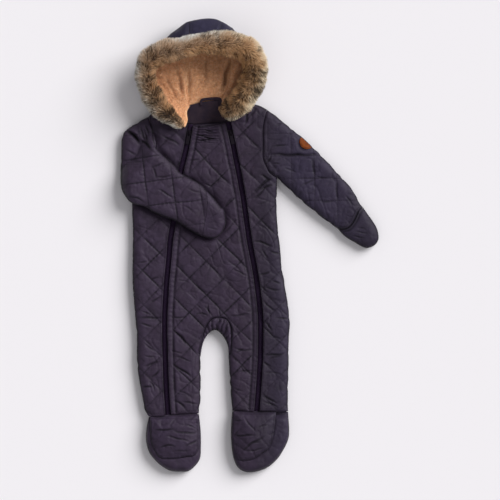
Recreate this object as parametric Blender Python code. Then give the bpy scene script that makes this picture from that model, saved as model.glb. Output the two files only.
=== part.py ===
"""A quilted, footed baby snowsuit with a fur-trimmed hood, laid flat on its back, front up.

Blender works in metres, +Z up, and the tables below are in millimetres in the same axes:
X runs to the wearer's left, Y to the head, and the suit rests on z = 0. Names that end in
_r and _l are on the wearer's right and left. The back lies on the surface, the front lies
on the back, and the wearer's right sleeve is folded over the chest.
"""

import math

import bmesh
import bpy
import numpy as np
from mathutils import Matrix, Vector
from mathutils.geometry import delaunay_2d_cdt

MM = 0.001

# Walls and clearances.
GAP = 0.3  # between pieces that meet or lie on each other
BACK_WALL = 10.0  # padded back, and the under side of a sleeve
STITCH_WALL = 7.0  # padded front where a quilting line holds it down
PUFF = 5.5  # rise of a quilted diamond over its stitching
SEAM_WALL = 5.0  # front beside a zip, hem or armhole
EDGE_WALL = 1.5  # either wall at the suit's own edge
EDGE_ROUND = 16.0  # width over which the front rounds down to that edge
UNDER_ROUND = 11.0  # the same on the under side
SEAM_ROUND = 8.0  # width over which the padding rises from a seam
FRONT_Z = BACK_WALL + GAP

# Quilting: a diamond's side, and for each cut piece a point where two lines cross and
# the direction of one of them, in degrees from X.
QUILT = 38.0
QUILT_STEPS = (0.0, 0.15, 0.5, 0.85)
QUILTS = {
    "body": dict(cross=(-77, -5), turn=-45),
    "sleeve_r": dict(cross=(-132, 74), turn=4),
    "sleeve_l": dict(cross=(113, 118), turn=3),
}

# Folds pressed into the padding: ends of each, its depth and half width.
FOLDS = {
    "sleeve_r": [((-213, 199), (-195, 183), 3.5, 5.0), ((-192, 176), (-178, 169), 3.0, 4.0),
                 ((-184, 205), (-177, 176), 3.0, 4.5)],
    "sleeve_l": [((34, 158), (112, 160), 3.0, 4.0), ((36, 146), (50, 128), 3.0, 4.0)],
    "front_side_l": [((22, 122), (46, 108), 3.0, 4.0), ((-2, 240), (-4, 214), 3.0, 4.0),
                     ((10, 238), (2, 218), 3.0, 4.0)],
    "front_side_r": [((-148, 211), (-118, 190), 3.0, 4.0)],
    "foot_upper_r": [((-168, -327), (-98, -324), 2.5, 5.0)],
    "foot_upper_l": [((-24, -350), (-4, -362), 2.0, 4.0)],
}
GATHERS = dict(low=(-97, 176), high=(-52, 212), pitch=7.0, depth=1.5, rise=3.0)  # at the neck
GUSSET_GATHERS = 12
GUSSET_MIDDLE = (-60, -187)

ZIP_HALF = 4.5  # half of a zip's visible width
PLACKET = 9.5  # plain strip beside the zip on the centre panel, outside its topstitching
SLEEVE_LIFT = FRONT_Z + STITCH_WALL + 0.8  # where the folded sleeve crosses the body
SLOT = 0.5  # the room left between the two walls of a flat tube
TUBE_SEAM = 5.0  # how near its folded edge that room comes

# Lines that the cut pieces share, from the neck towards the feet unless said.
ZIP_R = [(-103, 211), (-111, 166), (-120, 128), (-127, 82), (-133, 40), (-138, 9), (-141, -26),
         (-145, -70), (-148, -131), (-147, -201), (-145, -254), (-142, -298)]
ZIP_L = [(-37, 215), (-30, 184), (-23, 149), (-16, 114), (-10, 79), (-5, 44), (0, 9), (5, -18),
         (10, -44), (15, -79), (19, -117), (20, -158), (19, -205), (16, -254), (13, -292)]
SIDE_R = [(-202, 117), (-205, 93), (-205, 58), (-204, 9), (-205, -33), (-204, -79), (-200, -124),
          (-197, -166), (-197, -201), (-193, -236), (-188, -264), (-183, -289), (-176, -300)]
SIDE_L = [(49, 117), (48, 72), (50, 30), (54, -2), (56, -30), (62, -68), (68, -107),
          (71, -135), (69, -166), (69, -208), (68, -254), (68, -291)]
ARMHOLE_R = [(-174, 222), (-169, 201), (-165, 187), (-163, 170), (-172, 147), (-186, 128), (-202, 117)]
ARMHOLE_L = [(29, 233), (23, 205), (24, 177), (24, 152), (31, 135), (36, 126), (49, 117)]
SHOULDER_R = [(-163, 231), (-170, 228), (-174, 222)]
SHOULDER_L = [(3, 248), (19, 243), (29, 233)]
NECK_R = [(-163, 231), (-142, 225), (-125, 221), (-112, 212)]
NECK_L = [(3, 248), (-11, 239), (-27, 229), (-33, 217)]
NECK_BACK = [(-125, 221), (-112, 227), (-105, 240.5), (-88, 245.8), (-66, 249.6), (-50, 252),
             (-46, 240), (-38, 232), (-27, 229)]
HEM_R = [(-176, -300), (-156, -301), (-142, -298), (-113, -296), (-88, -295)]
HEM_L = [(-30, -290), (-8, -291), (13, -292), (68, -291)]
INSEAM_R = [(-84.5, -190), (-85, -236), (-85, -271), (-88, -295)]
INSEAM_L = [(-36.5, -190), (-36, -205), (-34, -245), (-30, -290)]
CROTCH = [(-84.5, -190), (-82, -176), (-77, -163), (-68, -152), (-59, -149), (-50, -155),
          (-42, -166), (-37.5, -178), (-36.5, -190)]
ARCH = [(-88, -190), (-83, -170), (-77, -146), (-66, -130), (-50, -127), (-38, -132),
        (-31.5, -148), (-32, -170), (-33.5, -190)]

# Sleeves: the edge on the side of the chest or thumb, the other edge, and the wrist end.
SLEEVE_R_INNER = [(-163, 170), (-158, 164), (-146, 153), (-130, 138), (-120, 126), (-107, 119),
                  (-86, 107), (-75, 95)]
SLEEVE_R_OUTER = [(-174, 222), (-197, 215), (-212, 205), (-221, 194), (-224, 180), (-225, 142),
                  (-226, 114), (-225, 100), (-218, 86), (-207, 74), (-183, 66), (-169, 58),
                  (-148, 49), (-132, 43), (-114, 32), (-99, 23), (-83, 15)]
MITTEN_R = [(-75, 95), (-64, 84), (-51, 68), (-44, 61), (-41, 42), (-43, 31), (-50, 19),
            (-60, 12), (-73, 12), (-83, 15)]
CUFF_R = [(-75, 95), (-74, 68), (-78, 40), (-83, 15)]
SLEEVE_L_UPPER = [(29, 233), (36, 234), (54, 220), (71, 206), (97, 185), (127, 156), (153, 128),
                  (178, 100), (195, 72), (204, 58)]
SLEEVE_L_LOWER = [(49, 117), (66, 100), (97, 72), (132, 44), (155, 28)]
CUFF_L = [(155, 28), (165, 29), (175, 33), (183, 44), (191, 56), (204, 58)]
MITTEN_L = [(204, 58), (216, 42), (223, 30), (226, 19), (226, 9), (220, 0), (209, -5),
            (199, -4), (185, 4), (167, 15), (155, 28)]

# Booties: the whole outline, and the upper's own edge from the hem round the toe.
FOOT_R = [(-176, -301), (-180, -320), (-181, -341), (-177, -359), (-170, -371), (-156, -385),
          (-139, -395), (-121, -397), (-107, -396), (-95, -387), (-86, -373), (-84.5, -350),
          (-85, -324), (-88, -296)]
UPPER_R = [(-174, -301), (-173, -341), (-167, -359), (-156, -373), (-137, -375), (-114, -372),
           (-97, -369), (-88, -358), (-86.5, -341), (-87, -324), (-89, -296)]
FOOT_L = [(68, -292), (70, -324), (68, -341), (59, -360), (48, -376), (31, -390), (15, -396),
          (1, -398), (-11, -396), (-22, -387), (-29, -368), (-32, -341), (-32, -315), (-30, -291)]
UPPER_L = [(47, -292), (45, -320), (41, -341), (34, -357), (22, -366), (14, -372), (1, -377),
           (-16, -378), (-25, -368), (-30, -341), (-30, -315), (-28.5, -291)]

# Hood panels. Each row of a side panel is a section from the fur edge, over the bulge and
# the foot of the wall, to a place on the crown's seam (0 at the neck, 1 at the fur).
CROWN_ROWS = [  # from the fur edge, over the top and along the surface, to the neck
    [(-104, 346, 54), (-105, 369, 51), (-106, 391, 34), (-106, 382, 10), (-106, 362, 0),
     (-107, 320, 0), (-111, 275, 0), (-108, 241.5, 0)],
    [(-78, 352, 56), (-78, 374, 53), (-79, 396, 35), (-79, 385, 10), (-79, 366, 0),
     (-79, 320, 0), (-82, 278, 0), (-88, 246.7, 0)],
    [(-51, 354, 57), (-54, 373, 54), (-57, 395, 36), (-55, 383, 10), (-53, 364, 0),
     (-53, 320, 0), (-58, 278, 0), (-66, 250.5, 0)],
    [(-27, 352, 56), (-33, 369, 53), (-39, 386, 36), (-36, 376, 10), (-30, 359, 0),
     (-31, 318, 0), (-37, 278, 0), (-47, 253.8, 0)],
]
HOOD_SIDE_R = [  # edge, bulge, foot, seam_at
    ((-113.5, 205, 23.5), (-108.5, 217, 21), (-109.5, 230, 17), 0.01),
    ((-129, 217, 25), (-125, 229, 20), (-118, 241, 9), 0.06),
    ((-145, 230, 27), (-147, 238, 20), (-135, 251, 4), 0.11),
    ((-156, 241, 29), (-162, 247, 18), (-147, 259, 0), 0.16),
    ((-166, 255, 31), (-175, 259, 18), (-159, 270, 0), 0.21),
    ((-178, 280, 35), (-190, 282, 20), (-173, 287, 0), 0.28),
    ((-181, 303, 40), (-192, 304, 22), (-175, 306, 0), 0.35),
    ((-173, 324, 45), (-184, 332, 25), (-167, 327, 0), 0.42),
    ((-149, 338, 50), (-159, 353, 30), (-147, 343, 2), 0.50),
    ((-128, 342, 53), (-132, 368, 42), (-125, 376, 18), 0.62),
    ((-114, 345, 54), (-114, 368, 51), (-112, 385, 39), 0.72),
]
HOOD_SIDE_L = [
    ((-42, 225, 23.5), (-44.5, 235, 19), (-46, 245, 12), 0.01),
    ((-36, 234, 25), (-34, 243, 20), (-38, 253, 6), 0.06),
    ((-20, 248, 28), (-17, 255, 18), (-30, 264, 2), 0.12),
    ((-4, 268, 32), (3, 269, 18), (-13, 277, 0), 0.19),
    ((9, 292, 37), (19, 292, 20), (2, 296, 0), 0.27),
    ((10, 317, 44), (20, 320, 24), (2, 322, 0), 0.36),
    ((-1, 341, 51), (8, 352, 32), (-6, 347, 3), 0.46),
    ((-13, 348, 54), (-13, 370, 38), (-18, 366, 8), 0.56),
    ((-23, 351, 55), (-26, 376, 47), (-29, 381, 28), 0.66),
]
HOOD_INSIDE = (-85, 300, 60)  # a point inside the hood, above its lining
HOOD_SHELL = (0.0, 2.2)  # depths of the shell's and the lining's faces under the outside
HOOD_LINING = (3.0, 6.5)
HOOD_SEAM = 0.7  # room between two panels along their seam
SEAM_PLACES = (0.01, 0.06, 0.12, 0.18, 0.25, 0.32, 0.39, 0.46, 0.53, 0.6, 0.67, 0.74)
SEAM_END = np.linspace(0.78, 1.0, 8)  # where a side panel's last section lies on the seam

FUR_ROWS = [  # middle x, y, lowest z, half width
    (-117, 206, 29.6, 9), (-129, 217, 30.0, 12), (-145, 230, 30.2, 16), (-156, 241, 30.6, 18),
    (-166, 255, 32.2, 18), (-178, 280, 36.2, 17), (-181, 303, 40.4, 17), (-173, 324, 45.5, 19),
    (-149, 338, 50.8, 19), (-121, 344, 53.9, 17), (-90, 351, 55.9, 17), (-60, 354, 57.2, 19),
    (-30, 353, 56.8, 19), (-2, 341, 52.3, 20), (10, 317, 44.9, 19), (9, 292, 38.0, 19),
    (-4, 268, 33.5, 20), (-20, 248, 30.4, 20), (-36, 234, 29.4, 17), (-45, 226, 28.5, 10),
]
FUR_FLATTEN = 0.72  # the trim's half height to its half width
FUR_SIDES = 12
FUR_STEP = 13.0

FACING = [(-101.5, 240.2), (-87, 245.1), (-66, 249), (-51.5, 251), (-46.8, 239.5), (-38.5, 231.2),
          (-30.5, 228.6), (-33.8, 219.5), (-40.5, 216), (-75, 213.6), (-98, 212.2), (-107, 213.3),
          (-111, 213.6), (-121, 220.8), (-112, 225.5), (-108.5, 231)]
FACING_Z = (BACK_WALL + GAP, BACK_WALL + GAP + 1.5)
LOOP_ROUTE = [(-84.5, 244), (-84, 252), (-79, 254.8), (-65, 256), (-54, 256.2), (-50.5, 253), (-52, 245)]
LOOP_Z = 13.2
LOOP_HALF = (2.0, 0.8)
PATCH_CENTRE = np.array([99.0, 178.0])
PATCH_RADIUS = 13.0
PATCH_WALL = 1.6
PATCH_EDGE = 2.2  # from the sleeve's edge, where the patch is trimmed
PATCH_LIFT = 0.8

SLIDER_Y = 196.0  # where a slider sits on its zip
CHAIN_TOP = FRONT_Z + 6.2
PLATE = dict(length=11.0, width=8.4, height=1.5)
BRIDGE = dict(reach=3.6, rise=3.1, radius=0.8)
TAB = dict(length=21.0, width=6.0, thickness=1.2, window=(3.2, 4.2), rail=1.2, axis_rise=1.2)


# ---------------------------------------------------------------- curves and outlines


def curve(points, step, closed=False):
    """Evenly spaced points on a smooth curve through the given ones."""
    points = np.array(points, float)
    if closed:
        ends = np.vstack([points[-1], points, points[0], points[1]])
    else:
        ends = np.vstack([2 * points[0] - points[1], points, 2 * points[-1] - points[-2]])
    t = np.linspace(0, 1, 12, endpoint=False)[:, None]
    fine = [
        0.5 * (2 * b + (c - a) * t + (2 * a - 5 * b + 4 * c - d) * t**2 + (3 * b - a - 3 * c + d) * t**3)
        for a, b, c, d in zip(ends, ends[1:], ends[2:], ends[3:])
    ]
    fine = np.vstack(fine + [points[:1] if closed else points[-1:]])
    run = np.concatenate([[0], np.cumsum(np.linalg.norm(np.diff(fine, axis=0), axis=1))])
    at = np.linspace(0, run[-1], max(2, round(run[-1] / step) + 1))
    even = np.stack([np.interp(at, run, column) for column in fine.T], 1)
    return even[:-1] if closed else even


def normals_of(path):
    """Unit vectors to the left of an open path, at its points."""
    along = np.gradient(path[:, :2], axis=0)
    along /= np.linalg.norm(along, axis=1)[:, None]
    return np.stack([-along[:, 1], along[:, 0]], 1)


def beside(path, distance):
    """The path moved to its left."""
    return path + normals_of(path) * distance


def lengthened(path, extra):
    first = path[0] + (path[0] - path[1]) / np.linalg.norm(path[0] - path[1]) * extra
    last = path[-1] + (path[-1] - path[-2]) / np.linalg.norm(path[-1] - path[-2]) * extra
    return np.vstack([first, path, last])


def loop_of(*paths):
    """One outline, anticlockwise, from paths that run end to end."""
    points = np.vstack(paths)
    apart = np.linalg.norm(points - np.roll(points, 1, axis=0), axis=1) > 1.5
    points = points[apart]
    x, y = points.T
    turned = (x * np.roll(y, -1) - y * np.roll(x, -1)).sum()
    return points if turned > 0 else points[::-1]


def inset(loop, distance):
    """An anticlockwise outline moved inwards by the distance."""
    back = loop - np.roll(loop, 1, axis=0)
    on = np.roll(loop, -1, axis=0) - loop
    back /= np.linalg.norm(back, axis=1)[:, None]
    on /= np.linalg.norm(on, axis=1)[:, None]
    middle = back + on
    middle /= np.linalg.norm(middle, axis=1)[:, None]
    left = np.stack([-middle[:, 1], middle[:, 0]], 1)
    opening = np.clip((left * np.stack([-on[:, 1], on[:, 0]], 1)).sum(1), 0.4, 1)
    return loop + left * (distance / opening)[:, None]


def distance_to(points, *paths):
    """Least distance from each point to the paths."""
    least = np.full(len(points), 1e6)
    for path in paths:
        start, along = path[:-1], np.diff(path, axis=0)
        for a, s in zip(start, along):
            t = np.clip(((points - a) @ s) / (s @ s), 0, 1)
            least = np.minimum(least, np.linalg.norm(points - a - t[:, None] * s, axis=1))
    return least


def ring(loop):
    return np.vstack([loop, loop[:1]])


def inside(points, loop):
    a, b = loop, np.roll(loop, -1, axis=0)
    x, y = points[:, :1], points[:, 1:]
    spans = (a[:, 1] > y) != (b[:, 1] > y)
    crossing = a[:, 0] + (y - a[:, 1]) * (b[:, 0] - a[:, 0]) / (b[:, 1] - a[:, 1] + 1e-12)
    return (spans & (x < crossing)).sum(1) % 2 == 1


def ease(t):
    return np.sin(np.clip(t, 0, 1) * math.pi / 2)


def rounded(t):
    return np.sqrt(1 - (1 - np.clip(t, 0, 1)) ** 2)


# ---------------------------------------------------------------- points that fill an outline


def spaced(points, kept, least):
    """The points that lie at least this far from each other and from those kept."""
    chosen = list(kept)
    for point in points:
        if not len(chosen) or np.linalg.norm(np.array(chosen) - point, axis=1).min() >= least:
            chosen.append(point)
    return np.array(chosen[len(kept):]).reshape(-1, 2)


def fill(loop, candidates, least=5.0, from_edge=4.0, kept=()):
    candidates = candidates[inside(candidates, loop)]
    candidates = candidates[distance_to(candidates, ring(loop)) >= from_edge]
    return spaced(candidates, kept, least)


def edge_rows(loop, *depths):
    """Points that follow the outline at each depth, for its rounding."""
    rows = np.zeros((0, 2))
    for depth in depths:
        row = inset(loop, depth)
        row = row[inside(row, loop)]
        row = row[distance_to(row, ring(loop)) > 0.9 * depth]
        rows = np.vstack([rows, spaced(row, rows, 5.0)])
    return rows


def quilt_axes(turn):
    angle = math.radians(turn)
    return np.array([[math.cos(angle), math.sin(angle)], [-math.sin(angle), math.cos(angle)]])


def quilt_points(loop, cross, turn):
    """The quilting's own grid, so that each stitched line is an edge of the mesh."""
    reach = int(np.ptp(loop, axis=0).max() / QUILT) + 2
    middle = np.round((loop.mean(0) - cross) @ quilt_axes(turn).T / QUILT)
    steps = np.array([n + s for n in range(-reach, reach) for s in QUILT_STEPS])
    u, v = np.meshgrid(steps + middle[0], steps + middle[1])
    return np.stack([u.ravel(), v.ravel()], 1) * QUILT @ quilt_axes(turn) + cross


def square_points(loop, step):
    low, high = loop.min(0), loop.max(0)
    x, y = np.meshgrid(np.arange(low[0], high[0], step), np.arange(low[1], high[1], step))
    return np.stack([x.ravel(), y.ravel()], 1)


# ---------------------------------------------------------------- meshes


def fabric(name, colour, roughness, metallic=0.0):
    """A plain finish from an sRGB hex colour."""
    material = bpy.data.materials.new(name)
    material.use_nodes = True
    shader = material.node_tree.nodes["Principled BSDF"]
    channels = [int(colour[i:i + 2], 16) / 255 for i in (0, 2, 4)]
    linear = [c / 12.92 if c <= 0.04045 else ((c + 0.055) / 1.055) ** 2.4 for c in channels]
    shader.inputs["Base Color"].default_value = (*linear, 1)
    shader.inputs["Roughness"].default_value = roughness
    shader.inputs["Metallic"].default_value = metallic
    material.diffuse_color = (*linear, 1)
    return material


def piece(name, points, faces, material):
    """A named object from points in millimetres."""
    mesh = bpy.data.meshes.new(name)
    mesh.from_pydata([Vector(p) * MM for p in points], [], [tuple(map(int, f)) for f in faces])
    mesh.update()
    mesh.materials.append(material)
    for polygon in mesh.polygons:
        polygon.use_smooth = True
    mesh.set_sharp_from_angle(angle=math.radians(50))
    made = bpy.data.objects.new(name, mesh)
    bpy.context.scene.collection.objects.link(made)
    return made


def triangles(loop, within):
    """The triangles over an outline and the points inside it."""
    flat = [Vector(p) for p in np.vstack([loop, within])]
    found = delaunay_2d_cdt(flat, [], [list(range(len(loop)))], 1, 1e-5)
    assert len(found[0]) == len(flat), "two points of an outline fall together"
    return found[2]


def flat_piece(name, loop, top, bottom, over, under, material):
    """A closed wall over an outline: top and bottom give the heights of its two faces."""
    upper = np.vstack([loop, over])
    lower = np.vstack([loop, under])
    points = np.vstack([np.column_stack([upper, top(upper)]), np.column_stack([lower, bottom(lower)])])
    first = len(upper)
    faces = [list(f) for f in triangles(loop, over)]
    faces += [[first + k for k in reversed(f)] for f in triangles(loop, under)]
    count = len(loop)
    for k in range(count):
        on = (k + 1) % count
        faces += [(first + k, first + on, on, k)]
    return piece(name, points, faces, material)


def grid_faces(shape):
    """Triangles over a grid of points, and the indices round its border."""
    index = np.arange(shape[0] * shape[1]).reshape(shape[:2])
    a, b, c, d = [k.ravel() for k in (index[:-1, :-1], index[:-1, 1:], index[1:, 1:], index[1:, :-1])]
    faces = np.vstack([np.stack([a, b, c], 1), np.stack([a, c, d], 1)])
    return faces, np.concatenate([index[0], index[1:, -1], index[-1, -2::-1], index[-2:0:-1, 0]])


def grid_normals(grid, towards):
    """The sum of the triangles' normals at each grid point, on the side of the given point."""
    flat = grid.reshape(-1, 3)
    faces, _ = grid_faces(grid.shape)
    flats = np.cross(flat[faces[:, 1]] - flat[faces[:, 0]], flat[faces[:, 2]] - flat[faces[:, 0]])
    if (flats * (np.array(towards) - flat[faces[:, 0]])).sum() < 0:
        flats = -flats
    normals = np.zeros_like(flat)
    for corner in faces.T:
        np.add.at(normals, corner, flats)
    return normals.reshape(grid.shape)


def thickened(name, grid, normals, depths, material):
    """A closed wall between two depths along the normals of a grid of points."""
    flat, normal = grid.reshape(-1, 3), normals.reshape(-1, 3)
    faces, border = grid_faces(grid.shape)
    flats = np.cross(flat[faces[:, 1]] - flat[faces[:, 0]], flat[faces[:, 2]] - flat[faces[:, 0]])
    if (flats * normal[faces[:, 0]]).sum() > 0:
        faces, border = faces[:, ::-1], border[::-1]
    points = np.vstack([flat + normal * depth for depth in depths])
    sides = [(p, p + len(flat), q + len(flat), q) for p, q in zip(border, np.roll(border, -1))]
    return piece(name, points, [*faces, *(faces[:, ::-1] + len(flat)), *sides], material)


def strip(name, path, section, material, heights=None, widths=None):
    """A bar along a path in plan. section gives sideways and upward offsets, anticlockwise."""
    section = np.array(section, float)
    side = normals_of(path)
    heights = np.zeros(len(path)) if heights is None else heights
    widths = np.ones(len(path)) if widths is None else widths
    points = []
    for at, left, height, width in zip(path, side, heights, widths):
        for across, up in section:
            points.append((*(at - left * across * width), height + up * width))
    count = len(section)
    faces = []
    for row in range(len(path) - 1):
        for k in range(count):
            on = (k + 1) % count
            a, b = row * count, (row + 1) * count
            faces.append((a + k, b + k, b + on, a + on))
    faces.append(tuple(range(count)))
    faces.append(tuple(reversed(range((len(path) - 1) * count, len(path) * count))))
    return piece(name, points, faces, material)


def changed(body, tool, operation):
    """Joins or cuts with another object, which is then only a guide."""
    modifier = body.modifiers.new(operation.title(), "BOOLEAN")
    modifier.operation = operation
    modifier.object = tool
    modifier.solver = "EXACT"
    tool.hide_render = True
    tool.display_type = "WIRE"


# ---------------------------------------------------------------- heights


def puff(points, cross, turn):
    """How far the quilting rises, 0 on its lines and PUFF in the middle of a diamond."""
    place = (points - np.array(cross)) @ quilt_axes(turn).T / QUILT
    wave = np.abs(np.sin(place * math.pi)) ** 0.8
    return PUFF * wave[:, 0] * wave[:, 1]


def padded_wall(points, free, seams, rise):
    """Wall thickness: thin on a free edge, pressed in at a seam, and puffed between."""
    full = SEAM_WALL + (STITCH_WALL - SEAM_WALL + rise) * ease(distance_to(points, *seams) / SEAM_ROUND)
    return EDGE_WALL + (full - EDGE_WALL) * rounded(distance_to(points, *free) / EDGE_ROUND)


def folded(points, folds):
    """How deep the folds press in at each point."""
    depth = np.zeros(len(points))
    for start, end, deep, half in folds:
        away = distance_to(points, np.array([start, end], float))
        depth = np.maximum(depth, deep * (1 - ease(away / half / 1.6)))
    return depth


def fold_points(folds):
    """Points along each fold and beside it, so that the mesh can follow it."""
    found = np.zeros((0, 2))
    for start, end, _, half in folds:
        line = curve([start, end], 9.0)
        found = np.vstack([found, line, beside(line, half * 1.6), beside(line, -half * 1.6)])
    return found


def under_side(points, loop, wall=BACK_WALL):
    """Height of a padded under side, which rests flat and rounds up to its edge."""
    return (wall - EDGE_WALL) * (1 - rounded(distance_to(points, ring(loop)) / UNDER_ROUND))


STEP = 12.0
zip_r, zip_l = curve(ZIP_R, 14.0), curve(ZIP_L, 14.0)
side_r, side_l = curve(SIDE_R, STEP), curve(SIDE_L, STEP)
armhole_r, armhole_l = curve(ARMHOLE_R, STEP), curve(ARMHOLE_L, STEP)
shoulder_r, shoulder_l = curve(SHOULDER_R, STEP), curve(SHOULDER_L, STEP)
neck_r, neck_l = curve(NECK_R, STEP), curve(NECK_L, STEP)
hem_r, hem_l = curve(HEM_R, STEP), curve(HEM_L, STEP)
inseam_r, inseam_l = curve(INSEAM_R, STEP), curve(INSEAM_L, STEP)
crotch, arch = curve(CROTCH, 7.0), curve(ARCH, 8.0)
top_edge = np.array([beside(zip_r, ZIP_HALF)[0], beside(zip_l, -ZIP_HALF)[0]])
topstitch = [beside(curve(ZIP_R, 7.0), ZIP_HALF + PLACKET), beside(curve(ZIP_L, 7.0), -ZIP_HALF - PLACKET)]

sleeve_r_loop = loop_of(curve(SLEEVE_R_OUTER, STEP), curve(CUFF_R, STEP)[::-1],
                        curve(SLEEVE_R_INNER, STEP)[::-1], armhole_r[:5][::-1])
mitten_r_loop = loop_of(curve(MITTEN_R, 10.0), curve(CUFF_R, STEP)[::-1])
folded_over = loop_of(curve(SLEEVE_R_OUTER, STEP), curve(MITTEN_R, 10.0)[::-1],
                      curve(SLEEVE_R_INNER, STEP)[::-1])

between_zips = loop_of(zip_r, zip_l[::-1])

body_free = [side_r, side_l, inseam_r, inseam_l, crotch, shoulder_r, shoulder_l]
body_seams = [zip_r, zip_l, armhole_r, armhole_l, hem_r, hem_l, arch, neck_r, neck_l, top_edge, *topstitch]


def uncovered(points):
    """0 under the folded sleeve, which presses the quilting flat, and 1 clear of it."""
    away = np.where(inside(points, folded_over), 0, distance_to(points, ring(folded_over)))
    return ease(away / 12)


def gathered(points):
    """How much each point belongs to the gathers at the neck, and their wave there."""
    low, high = np.array(GATHERS["low"]), np.array(GATHERS["high"])
    share = ease(np.minimum(points - low, high - points).min(1) / 8)
    wave = np.cos((points[:, 1] - low[1]) / GATHERS["pitch"] * 2 * math.pi)
    return share, GATHERS["depth"] * wave


def front_top(points, folds=()):
    """Height of the body's front: quilted, but plain in the plackets and gathered at the neck."""
    plain = (distance_to(points, zip_r, zip_l) < ZIP_HALF + PLACKET + 0.1) & inside(points, between_zips)
    rise = np.where(plain, 0.5, puff(points, **QUILTS["body"])) * uncovered(points)
    share, wave = gathered(points)
    rise = rise * (1 - share) + share * (GATHERS["rise"] + wave)
    return FRONT_Z + padded_wall(points, body_free, body_seams, rise) - folded(points, folds)


def level(height):
    return lambda points: np.full(len(points), float(height))


# ---------------------------------------------------------------- the suit's pieces


def front_panel(name, loop, material, extra=np.zeros((0, 2))):
    loop = inset(loop, GAP / 2)
    folds = FOLDS.get(name, [])
    special = fill(loop, np.vstack([extra, fold_points(folds)]), 2.5, 2.0)
    rows = np.vstack([special, spaced(edge_rows(loop, 2.5, 7.5), special, 4.0)])
    grid = fill(loop, quilt_points(loop, **QUILTS["body"]), 4.5, 4.0, kept=rows)
    under = fill(loop, square_points(loop, 45.0), 20.0, 10.0)
    flat_piece(name, loop, lambda p: front_top(p, folds), level(FRONT_Z), np.vstack([rows, grid]),
               under, material)


def gather_points():
    """Rows on each crest and trough of the gathers at the neck."""
    low, high = GATHERS["low"], GATHERS["high"]
    rows = np.arange(low[1], high[1], GATHERS["pitch"] / 2)
    x, y = np.meshgrid(np.linspace(low[0], high[0], 5), rows)
    return np.stack([x.ravel(), y.ravel()], 1)


def between(path, low, high):
    """The points of a path whose x lies between two values."""
    return path[(path[:, 0] > low) & (path[:, 0] < high)]


def make_front(quilted, plain):
    outer_r, inner_r = beside(zip_r, -ZIP_HALF), beside(zip_r, ZIP_HALF)
    inner_l, outer_l = beside(zip_l, -ZIP_HALF), beside(zip_l, ZIP_HALF)
    front_panel("front_side_r", loop_of(
        neck_r, outer_r, between(hem_r, -180, outer_r[-1][0] - 3)[::-1],
        side_r[::-1], armhole_r[::-1], shoulder_r[::-1]), quilted)
    front_panel("front_side_l", loop_of(
        neck_l, outer_l, between(hem_l, outer_l[-1][0] + 3, 80),
        side_l[::-1], armhole_l[::-1], shoulder_l[::-1]), quilted)
    front_panel("front_center", loop_of(
        inner_r, between(hem_r, inner_r[-1][0] + 3, -80), inseam_r[::-1], arch,
        inseam_l, between(hem_l, -40, inner_l[-1][0] - 3), inner_l[::-1]), quilted,
        np.vstack([*topstitch, gather_points()]))
    gusset = inset(loop_of(arch, crotch[::-1]), GAP / 2)
    turns = np.linspace(math.radians(-4), math.radians(184), 2 * GUSSET_GATHERS + 1)
    fan = [np.stack([GUSSET_MIDDLE[0] + r * np.cos(turns) * 0.62, GUSSET_MIDDLE[1] + r * np.sin(turns)], 1)
           for r in (40, 50)]
    pleats = fill(gusset, np.vstack(fan), 2.0, 1.5)

    def gusset_top(points):
        """Elastic gathers that run across the band."""
        away = points - np.array(GUSSET_MIDDLE)
        angle = np.arctan2(away[:, 1], away[:, 0] / 0.62)
        wave = np.cos(angle / math.pi * 2 * GUSSET_GATHERS * math.pi)
        return front_top(points) + 1.2 * wave * ease(distance_to(points, ring(gusset)) / 3)

    flat_piece("crotch_gusset", gusset, gusset_top, level(FRONT_Z), pleats, pleats[:0], plain)


def make_back(quilted):
    neck = curve(NECK_BACK, STEP)
    loop = loop_of(neck_r[neck_r[:, 0] < -128], neck, neck_l[neck_l[:, 0] > -24][::-1], shoulder_l,
                   armhole_l, side_l, hem_l[::-1], inseam_l[::-1], crotch[::-1], inseam_r,
                   hem_r[::-1], side_r[::-1], armhole_r[::-1], shoulder_r[::-1])
    loop = inset(loop, GAP / 2)
    under = edge_rows(loop, 2.0, 6.0, 11.5)
    under = np.vstack([under, fill(loop, square_points(loop, 60.0), 20.0, 15.0, kept=under)])
    over = fill(loop, square_points(loop, 60.0), 20.0, 15.0)
    flat_piece("back", loop, level(BACK_WALL), lambda p: under_side(p, loop), over, under, quilted)


def make_zip(name, path, tape):
    chain, foot = CHAIN_TOP - FRONT_Z, 0.0
    half = ZIP_HALF - GAP
    path = np.vstack([path[:-1], path[-1:] + [0, 0.8]])
    section = [(-half, foot), (half, foot), (half, chain - 1.6), (2.3, chain - 1.6), (1.7, chain),
               (-1.7, chain), (-2.3, chain - 1.6), (-half, chain - 1.6)]
    strip(name, path, section, tape, heights=np.full(len(path), FRONT_Z))


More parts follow.
